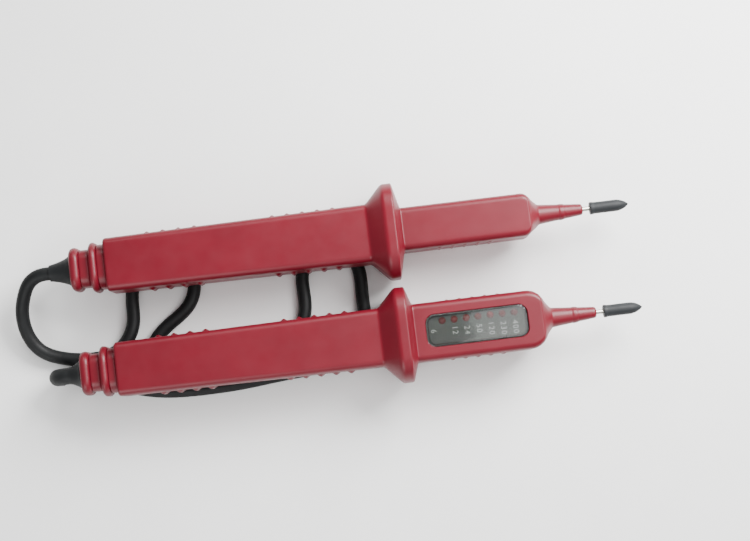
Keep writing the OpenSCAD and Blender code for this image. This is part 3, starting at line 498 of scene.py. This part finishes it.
# half width, half height, corner radius and roundness of the outside at each station; the nose has a faint
# ring out (1 - |u|^3), with u from -1 to 1 over one and a half times its length
def outsideForm(x, sizes, places, frontWidth, cornerRadius):
    halfNose, halfEnd = sizes["noseBase"] / 2, sizes["noseEnd"] / 2
    cornerX, cornerHalf = planCorner(sizes, places, frontWidth / 2, cornerRadius)
    ends = [places["gripFront"], places["crestRear"], places["crestFront"], places["front"]]
    spots = [places[name] + shift for name, shift, _ in sizes["softening"]]
    reach = np.interp(x, spots, [reach for *_, reach in sizes["softening"]])

    def alongHandle(grip, guard, face):
        knots = [places["gripRear"], *ends, places["shoulder"], places["nose"], places["end"]]
        return softened(x, knots, [grip, grip, guard, guard, face, face, halfNose, halfEnd], reach)

    halfWidth = softened(
        x, [places["gripRear"], *ends, *cornerX, places["nose"], places["end"]],
        [sizes["gripTailWidth"] / 2, sizes["gripWidth"] / 2, places["halfGuard"], places["halfGuard"],
         frontWidth / 2, *cornerHalf, halfNose, halfEnd], reach)
    halfHeight = alongHandle(sizes["gripHeight"] / 2, sizes["guardHeight"] / 2, sizes["frontHeight"] / 2)
    corner = alongHandle(sizes["gripCorner"], sizes["guardCorner"], sizes["frontCorner"])
    tail = x < places["gripRear"] - sizes["gripGap"] / 2
    ringLength, ringOut = sizes["noseRing"]
    ringMiddle = places["nose"] + sizes["noseRingAt"] + ringLength / 2
    ring = ringOut * (1 - np.abs(np.clip((x - ringMiddle) / (0.75 * ringLength), -1, 1)) ** 3)
    endCut = roundedEnd(x - places["gripRear"], sizes["gripEnd"])
    change = ring - endCut - roundedEnd(places["end"] - x, sizes["noseTip"])
    tailWidth, tailHeight, tailCorner = tailForm(x, sizes, places)
    halfWidth = np.where(tail, tailWidth, halfWidth + change)
    halfHeight = np.where(tail, tailHeight, halfHeight + change)
    corner = np.where(tail, tailCorner, corner + np.minimum(change, 0))
    start = sizes["roundFrom"]
    roundness = np.clip((x - places["shoulder"] - start) / (sizes["shoulder"] - start), 0, 1)
    return halfWidth, halfHeight, corner, roundness


# the same four values for the hollow inside: boot hole, tail, grip, front section, neck of the nose, pin bore
def insideForm(x, sizes, places, frontWidth, front):
    wall = sizes["wall"]
    roof = sizes["frontHeight"] / 2 - (sizes["faceWall"] if front else wall)
    rooms = np.array([
        [sizes["bootHole"] / 2, sizes["bootHole"] / 2, sizes["bootHole"] / 2, 1],
        [sizes["endGroove"][1] / 2 - wall, sizes["endGroove"][2] / 2 - wall, sizes["tailCorner"] - wall, 0],
        [sizes["gripTailWidth"] / 2 - wall, sizes["gripHeight"] / 2 - wall, sizes["gripCorner"] - wall, 0],
        [frontWidth / 2 - wall, roof, sizes["frontCorner"] - wall, 0],
        [sizes["noseBase"] / 2, sizes["noseBase"] / 2, sizes["noseBase"] / 3, 0],
        [sizes["pinHole"] / 2, sizes["pinHole"] / 2, sizes["pinHole"] / 2, 1],
    ])
    return rooms[np.searchsorted(places["roomEnds"] + sizes["wallStep"] / 2, x)].T


# half of a rounded rectangle, from parting line to parting line: side, corner arc, face, arc, side;
# roundness draws each point out to a circle, and the edge at the parting line is cut back by the seam
def halfContour(form, sizes, seamDepth, rise):
    halfWidth, halfHeight, corner, roundness = [value[:, None] for value in form]
    seamHalf, ridgeHeight, roundShare = sizes["seamHalf"], sizes["ridgeHeight"], sizes["ridgeRound"]
    corner = np.minimum(corner, np.minimum(halfWidth, halfHeight) - sizes["leastSide"])
    straight = halfHeight - corner
    seam = np.linspace(0, 1, 4) * np.minimum(seamHalf, straight / 2)
    sideShares = np.array([0.12, 0.3, 0.48, 0.62, 0.74, 0.83, 0.9, 0.95, 0.98, 1.0])  # ever closer upwards
    sideZ = np.concatenate([seam, seam[:, -1:] + sideShares * (straight - seam[:, -1:])], 1)
    turn = np.linspace(0, np.pi / 2, 13)[None, 1:]
    across = 1 - np.linspace(0, 1, 5)[None, 1:]
    y = np.concatenate([
        np.broadcast_to(halfWidth, sideZ.shape), halfWidth - corner * (1 - np.cos(turn)),
        (halfWidth - corner) * across,
    ], 1)
    faceZ = np.repeat(halfHeight, across.shape[1], 1)
    z = np.concatenate([sideZ, straight + corner * np.sin(turn), faceZ], 1)
    distance = np.hypot(y, z)
    circle = (halfWidth + halfHeight) / 2
    y, z = y + roundness * (y / distance * circle - y), z + roundness * (z / distance * circle - z)
    pastFlat = np.clip((z / ridgeHeight - 1 + roundShare) / roundShare, 0, 1)
    ridgeEnd = np.sqrt(1 - pastFlat ** 2)
    y = y + rise[:, None] * ridgeEnd - seamDepth * np.clip(1 - z / seamHalf, 0, 1)
    return np.concatenate([y, -y[:, -2::-1]], 1), np.concatenate([z, z[:, -2::-1]], 1)


# half a handle: outer and inner contours joined into one ring at each station, and both ends closed
def makeHalf(owner, side, sizes, places, centre):
    front = side == "front"
    frontWidth = sizes["frontWidth"][owner]
    x = handleStations(sizes, places)
    rise = ridgeRise(x, sizes, places)[0]
    outside = outsideForm(x, sizes, places, frontWidth, sizes["planCorner"][owner])
    inside = insideForm(x, sizes, places, frontWidth, front)
    outerY, outerZ = halfContour(outside, sizes, sizes["seamDepth"], rise)
    innerY, innerZ = halfContour(inside, sizes, 0, 0 * rise)
    y = np.concatenate([outerY, innerY[:, ::-1]], 1)
    z = np.concatenate([outerZ, innerZ[:, ::-1]], 1) * (1 if front else -1)
    along = np.repeat(x[:, None], y.shape[1], 1)
    points = np.stack([along, y + centre[1], z + centre[2]], -1).reshape(-1, 3)
    count, columns = outerY.shape[1], y.shape[1]
    column = np.arange(count - 1)
    end = np.stack([column, column + 1, columns - 2 - column, columns - 1 - column], -1)
    faces = [gridFaces(len(x), columns), end, end + (len(x) - 1) * columns]
    return makePiece(f"{owner}_{side}_case", points, faces, redAbs)


# a round post or drill upright in a handle, from one height to another, with a small chamfer at its first end
def makeRod(x, centre, low, high, diameter, flare=0.0):
    radius = diameter / 2
    tip = math.copysign(1, high - low) * max(flare, hair)
    profile = np.array([(low, 0), (low, radius + flare), (low + tip, radius), (high, radius), (high, 0)])
    return turnedSolid("rod", profile, (x, centre[1], centre[2]), redAbs, upright=True, steps=48)


# both halves of a handle, with a post at each screw: the front one is drilled for the thread, the back one
# for the shank and, from outside, for the head
def makeHandle(owner, sizes):
    places = handlePlaces(sizes, f"{owner}_front_shell")
    low, high = boxOf(f"{owner}_pin")
    centre = (low + high) / 2
    screws = [  # their places, and how high the outside is there
        (x, sizes["frontHeight" if x > places["front"] else "gripHeight"] / 2) for x in places["screws"]
    ]
    overrun, seat, head, chamfer = (sizes[name] for name in ("overrun", "seat", "headBore", "headChamfer"))
    faces = []
    for side, sign in (("front", 1), ("back", -1)):
        half = makeHalf(owner, side, sizes, places, centre)
        cover, post = sizes["postCover"], sizes["post"][side]
        combine(half, "UNION", [makeRod(x, centre, 0, sign * (top - cover), post) for x, top in screws])
        if side == "front":
            rods = [(x, -overrun, sizes["threadDepth"], sizes["threadBore"]) for x, top in screws]
        else:
            rods = [(x, overrun, -seat - overrun, sizes["screwBore"]) for x, top in screws]
            rods += [(x, -top - hair, -seat, head, chamfer) for x, top in screws]
            rods += [(x, -top - sizes["headOverrun"], -top, head + 2 * chamfer) for x, top in screws]
        combine(half, "DIFFERENCE", [makeRod(x, centre, *rod) for x, *rod in rods])
        settle(half, "red_shell", owner, f"{owner}_{side}_shell")
        faces.append(len(half.data.polygons))
    print(owner, "handle made:", faces, "faces")
    return places, centre


handles = {owner: makeHandle(owner, handleSizes) for owner in ("tester", "probe")}


# smoked pane, its printed frame, and the scale under it, in millimetres
displaySizes = {
    "corner": 4.0, "ledge": 1.2, "play": 0.1, "lip": 0.3, "overrun": 2.0,
    "paneEdge": (0.8, 0.4),  # how far the rounded edge reaches inwards and down
    "ink": 0.04, "inkWidth": 1.3, "inkInset": 0.03, "paneGap": 0.008,
    "lamp": 3.0, "lampFoot": 3.8, "lampFootHeight": 1.0,
    "numbers": ("6", "12", "24", "50", "120", "230", "400"), "firstNumberAt": -4.1, "numberStart": 0.6,
    "numberHeight": 2.4, "numberSpacing": 1.2, "numberThickness": 0.02,
}


# one printed number as points and faces: its letters stand towards +X and read towards -Y
def numberShape(text, start, sizes):
    curve = bpy.data.curves.new("number", "FONT")
    curve.body, curve.align_x, curve.align_y = text, "LEFT", "CENTER"
    curve.extrude = 0.01  # of any depth, because the ink's thickness replaces it below
    curve.space_character = sizes["numberSpacing"]
    holder = bpy.data.objects.new("number", curve)
    bpy.context.scene.collection.objects.link(holder)
    bpy.context.view_layer.update()
    mesh = bpy.data.meshes.new_from_object(holder.evaluated_get(bpy.context.evaluated_depsgraph_get()))
    bpy.data.objects.remove(holder)
    points = np.array([corner.co[:] for corner in mesh.vertices])
    low, high = points.min(0), points.max(0)
    flat = (points - [low[0], (low[1] + high[1]) / 2, low[2]]) * sizes["numberHeight"] / (high[1] - low[1])
    thick = sizes["numberThickness"] * (points[:, 2] > 0)
    placed = np.stack([start[0] + flat[:, 1], start[1] - flat[:, 0], start[2] + thick], -1)
    return placed, [tuple(face.vertices) for face in mesh.polygons]


# the window's opening in the front half, the pane on its ledge, the lamps and the numbers between them
def makeDisplay(sizes):
    low, high = boxOf("display_window")
    middle, half, seat, face = (low + high) / 2, (high - low) / 2, low[2], high[2]
    outline = roundedOutline(middle[:2], half[0], half[1], sizes["corner"])
    ledge, play, lip = sizes["ledge"], sizes["play"], sizes["lip"]
    opening = outlineSolid("opening", outline, [
        (-ledge, seat - sizes["overrun"]), (-ledge, seat), (play, seat), (play, face - lip),
        (play + lip, face + hair), (play + lip, face + sizes["overrun"]),
    ], redAbs)
    combine(bpy.data.objects["tester_front_case"], "DIFFERENCE", [opening])
    turn, (edge, drop) = np.linspace(0, np.pi / 2, 7), sizes["paneEdge"]
    rounding = np.stack([-edge * (1 - np.cos(turn)), face - drop * (1 - np.sin(turn))], -1)
    inkTop, outer, inner = seat + sizes["ink"], -sizes["inkInset"], -sizes["inkWidth"]
    pane = outlineSolid("window_pane", outline, [(0, inkTop + sizes["paneGap"]), *rounding], acrylic)
    inkLevels = [(outer, seat), (outer, inkTop), (inner, inkTop), (inner, seat)]
    border = outlineSolid("window_frame_print", outline, inkLevels, frameBlack, frame=True)
    settle(pane, "smoked_window", "tester", "display_window")
    settle(border, "scale_plate", "tester")

    low, high = boxOf("indicator_lamps")
    radius, foot, height = sizes["lamp"] / 2, sizes["lampFoot"] / 2, high[2] - low[2]
    lampX = np.linspace(low[0] + foot, high[0] - foot, len(sizes["numbers"]))
    lampCentres = [(x, (low[1] + high[1]) / 2, low[2]) for x in lampX]
    dome = np.stack([height - radius * (1 - np.sin(turn)), radius * np.cos(turn)], -1)
    footHeight = sizes["lampFootHeight"]
    flange = softCorners([
        (0, 0, 0), (0, foot, 0.1), (footHeight, foot, 0.2), (footHeight, radius, 0.1),
        (height - radius, radius, 0),
    ])
    lamps = turnedSolid("lamp_row", [*flange, *dome[1:-1], (height, 0)], lampCentres, epoxy, True, 32)
    settle(lamps, "lamp_lens", "tester", "indicator_lamps")

    plateTop = boxOf("scale_plate")[1][2]
    startY = middle[1] + sizes["numberStart"]
    numberX = [lampX[0] + sizes["firstNumberAt"], *lampX[1:]]
    points, faces = [], []
    for text, x in zip(sizes["numbers"], numberX):
        shape, corners = numberShape(text, (x, startY, plateTop), sizes)
        faces += [[[corner + sum(map(len, points)) for corner in face]] for face in corners]
        points.append(shape)
    numbers = makePiece("scale_numbers", np.concatenate(points), faces, ink)
    settle(numbers, "scale_plate", "tester")
    print("display made:", len(numbers.data.polygons), "faces of numbers")


makeDisplay(displaySizes)

# pieces turned about a handle's axis, in millimetres
turnedSizes = {
    "collarAt": 2.0, "collar": 2.0, "pin": 2.0, "pinPoint": 2.0, "pinBlunt": (0.1, 0.16),
    "bore": 2.1, "boreStart": 1.0, "boreEnd": 0.5, "lip": 1.2, "cap": 5.2, "straight": 0.5, "capPoint": 6.0,
}


# test pin with the collar that the nose traps, its edges broken and its point blunt
def makePin(owner, sizes, places, centre):
    low, high = boxOf(f"{owner}_pin")
    collar = places["nose"] + sizes["collarAt"]
    collarEnd, shoulder = collar + sizes["collar"], high[0] - sizes["pinPoint"]
    radius, wide, (blunt, bluntRadius) = sizes["pin"] / 2, (high[2] - low[2]) / 2, sizes["pinBlunt"]
    profile = softCorners([
        (low[0], 0, 0), (low[0], radius, 0.15), (collar, radius, 0.1), (collar, wide, 0.2),
        (collarEnd, wide, 0.2), (collarEnd, radius, 0.1), (shoulder, radius, 0.4),
        (high[0] - blunt, bluntRadius, 0.08), (high[0], 0, 0),
    ])
    pin = turnedSolid(f"{owner}_contact_pin", profile, (0, centre[1], centre[2]), brass)
    settle(pin, "pin_metal", owner, f"{owner}_pin")


# push-on cap: lipped mouth, blind bore, and a point of radius r (1 - s^2)^0.8 along its share s
def makeCap(owner, sizes, centre):
    low, high = boxOf(f"{owner}_cap")
    pinTip = boxOf(f"{owner}_pin")[1][0]
    bore, lip, radius = sizes["bore"] / 2, (high[2] - low[2]) / 2, sizes["cap"] / 2
    share = np.sin(np.linspace(0, np.pi / 2, 18))[:, None]
    pointStart = high[0] - sizes["capPoint"]
    point = np.concatenate([pointStart + sizes["capPoint"] * share, radius * (1 - share ** 2) ** 0.8], 1)
    mouth = softCorners([
        (low[0] + sizes["boreStart"], bore, 0), (low[0], bore, 0.12), (low[0], lip, 0.45),
        (low[0] + sizes["lip"], lip, 0.35), (low[0] + 1.5 * sizes["lip"], radius, 0.3),
        (pointStart - sizes["straight"], radius, 0),
    ])
    hollow = [(pinTip + sizes["boreEnd"], 0), (pinTip, bore)]
    cap = turnedSolid(f"{owner}_push_cap", [*mouth, *point, *hollow], (0, centre[1], centre[2]), capPvc)
    settle(cap, "cap_plastic", f"{owner}_tip_cap", f"{owner}_cap")


# lead boots, in millimetres: the display handle's turns down and back under it
bootSizes = {
    "length": {"tester": 6.0, "probe": 10.0}, "end": 7.4, "base": 14.0, "baseBevel": (0.35, 0.1),
    "neck": 8.6, "flange": (10.6, 2.0), "leadBore": 6.1, "mouthDepth": 0.6, "sleeveStart": 1.0,
    "elbowRadius": 6.5, "elbowAngle": 130.0,
}


# bends what lies behind a place down an arc, radius r at the height of the axis
def bendDown(piece, bendAt, axisHeight, radius):
    points = np.zeros(len(piece.data.vertices) * 3)
    piece.data.vertices.foreach_get("co", points)
    points = points.reshape(-1, 3) / mm
    behind = points[:, 0] < bendAt
    turn, reach = (bendAt - points[behind, 0]) / radius, radius + points[behind, 2] - axisHeight
    points[behind, 0] = bendAt - reach * np.sin(turn)
    points[behind, 2] = axisHeight - radius + reach * np.cos(turn)
    piece.data.vertices.foreach_set("co", (points * mm).reshape(-1))
    piece.data.update()


# lead boot: outside a flare of radius end + (base - end) (0.35 t + 0.65 t^2), and a neck and a flange in
# the tail wall
def makeBoot(owner, sizes, places, centre):
    bore, end, base, neck = (sizes[name] / 2 for name in ("leadBore", "end", "base", "neck"))
    tail, flangeEnd = places["tail"], boxOf(f"{owner}_lead_boot")[1][0]
    flangeRadius, neckEnd = sizes["flange"][0] / 2, flangeEnd - sizes["flange"][1]
    start = tail - sizes["length"][owner]
    bent = sizes["elbowRadius"] * math.radians(sizes["elbowAngle"]) if owner == "tester" else 0
    share = np.linspace(0, 1, 16)[1:-1, None]
    flare = np.concatenate([
        start + share * (tail - start), end + (base - end) * (0.35 * share + 0.65 * share ** 2),
    ], 1)
    opening, (bevelLength, bevelDepth) = start - bent, sizes["baseBevel"]
    sleeve = np.linspace(opening + sizes["sleeveStart"], start, 24) if bent else np.empty(0)
    depth = opening + sizes["mouthDepth"]
    mouth = softCorners([(depth, bore, 0), (opening, bore, 0.15), (opening, end, 0.3), (depth, end, 0)])
    root = softCorners([
        (*flare[-3], 0), (tail - bevelLength, base, 0.3), (tail - hair, base - bevelDepth, 0.08),
        (tail - hair, neck, 0.1), (neckEnd, neck, 0.1), (neckEnd, flangeRadius, 0.2),
        (flangeEnd, flangeRadius, 0.2), (flangeEnd, bore, 0.05),
    ])
    outer, inner = [(x, end) for x in sleeve], [(x, bore) for x in sleeve[::-1]]
    boot = turnedSolid(
        f"{owner}_boot", [*mouth, *outer, *flare[2:-3], *root, *inner], (0, centre[1], centre[2]), bootPvc,
    )
    if bent:
        bendDown(boot, start, centre[2], sizes["elbowRadius"])
    settle(boot, "boot_rubber", owner, f"{owner}_lead_boot")


# case screws seen from the back: domed head, cross recess with tapered walls, plain shank in the post
screwSizes = {
    "head": 5.2, "headHeight": 1.8, "dome": (0.45, 0.92), "rim": 0.25, "shank": 2.9, "length": 11.0,
    "slot": (3.0, 0.8), "slotCorner": 0.2, "slotDepth": 0.9, "slotTaper": 0.14, "slotFlare": (0.05, 0.5),
}


# the dome's height follows the square of the radius over a share of the head
def makeScrews(owner, sizes, places, centre):
    bottom = boxOf(f"{owner}_screws")[0][2]
    top, head, shank = sizes["headHeight"], sizes["head"] / 2, sizes["shank"] / 2
    end = top + sizes["length"]
    domeHeight, domeShare = sizes["dome"]
    share = np.linspace(0, 1, 7)[:, None]
    dome = np.concatenate([domeHeight * share ** 2, head * share * domeShare], 1)
    body = softCorners([
        (*dome[-1], 0), (domeHeight + sizes["rim"], head, 0.15), (top, head, 0.15), (top, shank, 0.1),
        (end, shank, 0.4), (end, 0, 0),
    ])
    screwCentres = [(x, centre[1], bottom) for x in places["screws"]]
    screws = turnedSolid(f"{owner}_case_screws", [*dome[:-1], *body], screwCentres, steel, True, 40)
    flare, flareHeight = sizes["slotFlare"]
    levels = [(flare, bottom - flareHeight), (0, bottom), (-sizes["slotTaper"], bottom + sizes["slotDepth"])]
    recesses = []
    for x in places["screws"]:
        for length, width in (sizes["slot"], sizes["slot"][::-1]):
            outline = roundedOutline((x, centre[1]), length / 2, width / 2, sizes["slotCorner"], 5)
            recesses.append(outlineSolid("recess", outline, levels, steel))
    combine(screws, "DIFFERENCE", recesses)
    settle(screws, "screw_steel", owner, f"{owner}_screws")


for owner, (places, centre) in handles.items():
    makePin(owner, turnedSizes, places, centre)
    makeCap(owner, turnedSizes, centre)
    makeBoot(owner, bootSizes, places, centre)
    makeScrews(owner, screwSizes, places, centre)
print("pins, caps, boots and screws made")

# the lead's route on the surface and the bend beside the tails, in millimetres
leadLay = {
    "diameter": 6.0, "sides": 32, "spacing": 1.2,
    "blendStart": (-0.146, -0.011, 0.01), "blendEnd": (-0.146, 0.019, 0.01),  # in metres
    "bend": [
        (-129, 23, 18), (-134, 22.7, 17.6), (-138.6, 20.4, 16.4), (-142, 15.5, 14.2),
        (-144.4, 8.5, 11.2), (-144.4, 0.5, 8.2), (-141.8, -6.5, 5.7), (-137, -11.3, 4), (-130.5, -14, 3),
    ],
    "run": [
        (-130.5, -14, 3), (-123, -15.6, 3), (-115, -16, 3), (-107, -14.5, 3),
        (-100.5, -9.5, 3), (-97, -2, 3), (-96.5, 6, 3), (-95.5, 14, 3),
        (-91, 22, 3), (-83, 26, 3), (-75, 24, 3), (-69, 18, 3), (-68, 10, 3),
        (-72, 2, 3), (-79, -3.4, 3), (-85, -8, 3), (-89, -14, 3), (-88.5, -20.5, 3),
        (-84.5, -25.5, 3), (-77.5, -27.8, 3), (-69, -27.8, 3), (-57, -26.5, 3),
        (-45, -25, 3), (-34, -22, 3), (-25, -16, 3), (-20, -8, 3), (-19, 1, 3),
        (-19, 9, 3), (-15.5, 17, 3), (-6, 21, 3), (3.5, 17, 3), (7, 8, 3),
        (7, -2, 3), (7, -12, 3), (5, -20.5, 3), (-1, -27.5, 3), (-10, -31, 3),
        (-21, -32.4, 3), (-33, -33.3, 3), (-45, -34.4, 3), (-58, -35.2, 3),
        (-71, -35.3, 3), (-83, -34.7, 3), (-94, -32.8, 3), (-104, -29.5, 3),
        (-113, -25.8, 3), (-120.5, -23.4, 3), (-126, -23, 4.3),
    ],
}


# clamped cubic spline: the slopes at the knots solve one tridiagonal system, and Hermite pieces join them
def splineThrough(knots, first, last, spacing):
    knots = np.array(knots, float)
    gaps = np.linalg.norm(np.diff(knots, axis=0), axis=1)
    places = np.concatenate([[0], np.cumsum(gaps)])
    chords = np.diff(knots, axis=0) / gaps[:, None]
    share = gaps[1:] / (gaps[:-1] + gaps[1:])
    count = len(knots)
    inner = np.arange(1, count - 1)
    system, sums = np.eye(count), np.zeros((count, 3))
    system[inner, inner - 1], system[inner, inner], system[inner, inner + 1] = share, 2, 1 - share
    sums[inner] = 3 * (share[:, None] * chords[:-1] + (1 - share)[:, None] * chords[1:])
    sums[0], sums[-1] = first, last
    slopes = np.linalg.solve(system, sums)
    at = np.linspace(0, places[-1], round(places[-1] / spacing) + 1)
    piece = np.clip(np.searchsorted(places, at, "right") - 1, 0, count - 2)
    gap = gaps[piece][:, None]
    t = (at - places[piece])[:, None] / gap
    return (
        (2 * t ** 3 - 3 * t ** 2 + 1) * knots[piece] + (t ** 3 - 2 * t ** 2 + t) * gap * slopes[piece]
        + (3 * t ** 2 - 2 * t ** 3) * knots[piece + 1] + (t ** 3 - t ** 2) * gap * slopes[piece + 1]
    )


# a round tube: rings square to the path, spanned by its level side and the direction above it
def makeCord(name, path, lay, material):
    ahead = np.gradient(path, axis=0)
    ahead /= np.linalg.norm(ahead, axis=1)[:, None]
    beside = np.cross(ahead, [0, 0, 1])
    beside /= np.linalg.norm(beside, axis=1)[:, None]
    above = np.cross(beside, ahead)
    turn = np.linspace(0, 2 * np.pi, lay["sides"], endpoint=False)[None, :, None]
    ring = np.cos(turn) * beside[:, None] + np.sin(turn) * above[:, None]
    points = (path[:, None] + lay["diameter"] / 2 * ring).reshape(-1, 3)
    sides, ends = np.arange(lay["sides"])[None], (len(path) - 1) * lay["sides"]
    faces = [gridFaces(len(path), lay["sides"]), sides[:, ::-1], sides + ends]
    return makePiece(name, points, faces, material, 50)


# the run lies on the surface and ends in the display handle's boot, and the bend joins it to the other boot
def makeLead(lay, boot):
    meeting = np.subtract(lay["run"][1], lay["bend"][-2]).astype(float)
    meeting /= np.linalg.norm(meeting)
    floorHeight = lay["diameter"] / 2
    bendPath = splineThrough(lay["bend"], (-1, 0, 0), meeting, lay["spacing"])
    turn, radius = math.radians(boot["elbowAngle"]), boot["elbowRadius"]
    places, centre = handles["tester"]
    mouth = (
        places["tail"] - boot["length"]["tester"] - radius * math.sin(turn), centre[1],
        centre[2] - radius * (1 - math.cos(turn)),
    )
    intoMouth = (math.cos(turn), 0, math.sin(turn))
    runPath = splineThrough([*lay["run"], mouth], meeting, intoMouth, lay["spacing"])
    runPath[:, 2] = np.maximum(runPath[:, 2], floorHeight)  # it lies on the surface and not in it
    run = makeCord("lead_on_surface", runPath, lay, jacketPvc)
    bend = makeCord("lead_beside_tails", bendPath, lay, jacketPvc)
    settle(run, "lead_jacket", "tester", "lead_run")
    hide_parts("lead_bend")
    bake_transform(bend)


makeLead(leadLay, bootSizes)

# inner pieces keep their solids and get their real finish: two colours, least roughness, and the size of
# the patches in millimetres
innerFinishes = {
    "greenGlassEpoxy": (("circuit_board", "resistor_board"), "#1c4f2b", "#23603a", 0.35, 5),
    "beigeLacquer": (("board_resistors",), "#b7a57f", "#c6b58f", 0.3, 1.5),
    "blueLacquer": (("series_resistors",), "#37586f", "#446a83", 0.3, 2),
    "blackEpoxyMould": (("board_chip",), "#17181a", "#1f2022", 0.55, 2),
    "blueSleeve": (("board_capacitor",), "#1a2444", "#222e55", 0.35, 3),
    "redWireInsulation": (("tester_pin_wire", "probe_pin_wire"), "#a8231c", "#b42c22", 0.4, 4),
    "blueWireInsulation": (("tester_core_wire", "probe_core_wire"), "#2c3a7c", "#35458c", 0.4, 4),
    "greyNylon": (("tester_lead_clamp", "probe_lead_clamp"), "#303336", "#3a3d40", 0.5, 4),
}


# gives CAD nodes their material
def finishNodes(names, material):
    for name in names:
        bpy.data.objects[name].material_slots[0].material = material


for name, (nodes, dark, light, roughness, size) in innerFinishes.items():
    finishNodes(nodes, innerFinish(name, dark, light, roughness, size))
finishNodes(("tester_lead_end", "probe_lead_end"), jacketPvc)
finishNodes(("scale_plate",), film)
print("inner pieces finished")

floor = {"size": 6.0, "colour": (60, "#f6f6f5", "#fafaf9"), "roughness": (30, 0.75, 0.85)}


# pale matt table top
def makeFloor(sizes):
    material = patchyMaterial("paleFloor", {"IOR": 1.4}, sizes["colour"], sizes["roughness"])
    half = sizes["size"] / 2
    mesh = bpy.data.meshes.new("floor")
    corners = [(-half, -half, 0), (half, -half, 0), (half, half, 0), (-half, half, 0)]
    mesh.from_pydata(corners, [], [(0, 1, 2, 3)])
    mesh.materials.append(material)
    piece = bpy.data.objects.new("floor", mesh)
    bpy.context.scene.collection.objects.link(piece)


# four square soft lamps under an even pale sky: two of them past the tips, which the flat front faces
# mirror faintly, one behind the pair and one on the near side
studio = {
    "sky": ("#f4f5f6", 0.45),
    "lamps": {
        "overhead": {"place": (0.52, -0.12, 1.1), "size": 0.9, "power": 8.0},
        "tips": {"place": (0.29, 0.24, 0.34), "size": 0.3, "power": 7.5},
        "behind": {"place": (0.05, 0.9, 0.7), "size": 0.6, "power": 5.0},
        "near": {"place": (-0.4, -0.7, 0.6), "size": 0.6, "power": 5.5},
    },
}


# each lamp looks at the origin
def makeLights(sizes):
    for name, lamp in sizes["lamps"].items():
        light = bpy.data.lights.new(name, "AREA")
        light.shape, light.size, light.energy = "SQUARE", lamp["size"], lamp["power"]
        holder = bpy.data.objects.new(name, light)
        place = Vector(lamp["place"])
        turn = (-place).to_track_quat("-Z", "Y").to_matrix().to_4x4()
        holder.matrix_world = Matrix.Translation(place) @ turn
        bpy.context.scene.collection.objects.link(holder)
    world = bpy.data.worlds.new("studio")
    bpy.context.scene.world = world
    world.use_nodes = True
    colour, strength = sizes["sky"]
    sky = world.node_tree.nodes["Background"]
    sky.inputs["Color"].default_value, sky.inputs["Strength"].default_value = linear(colour), strength


makeFloor(floor)
makeLights(studio)
print("floor and lights made")
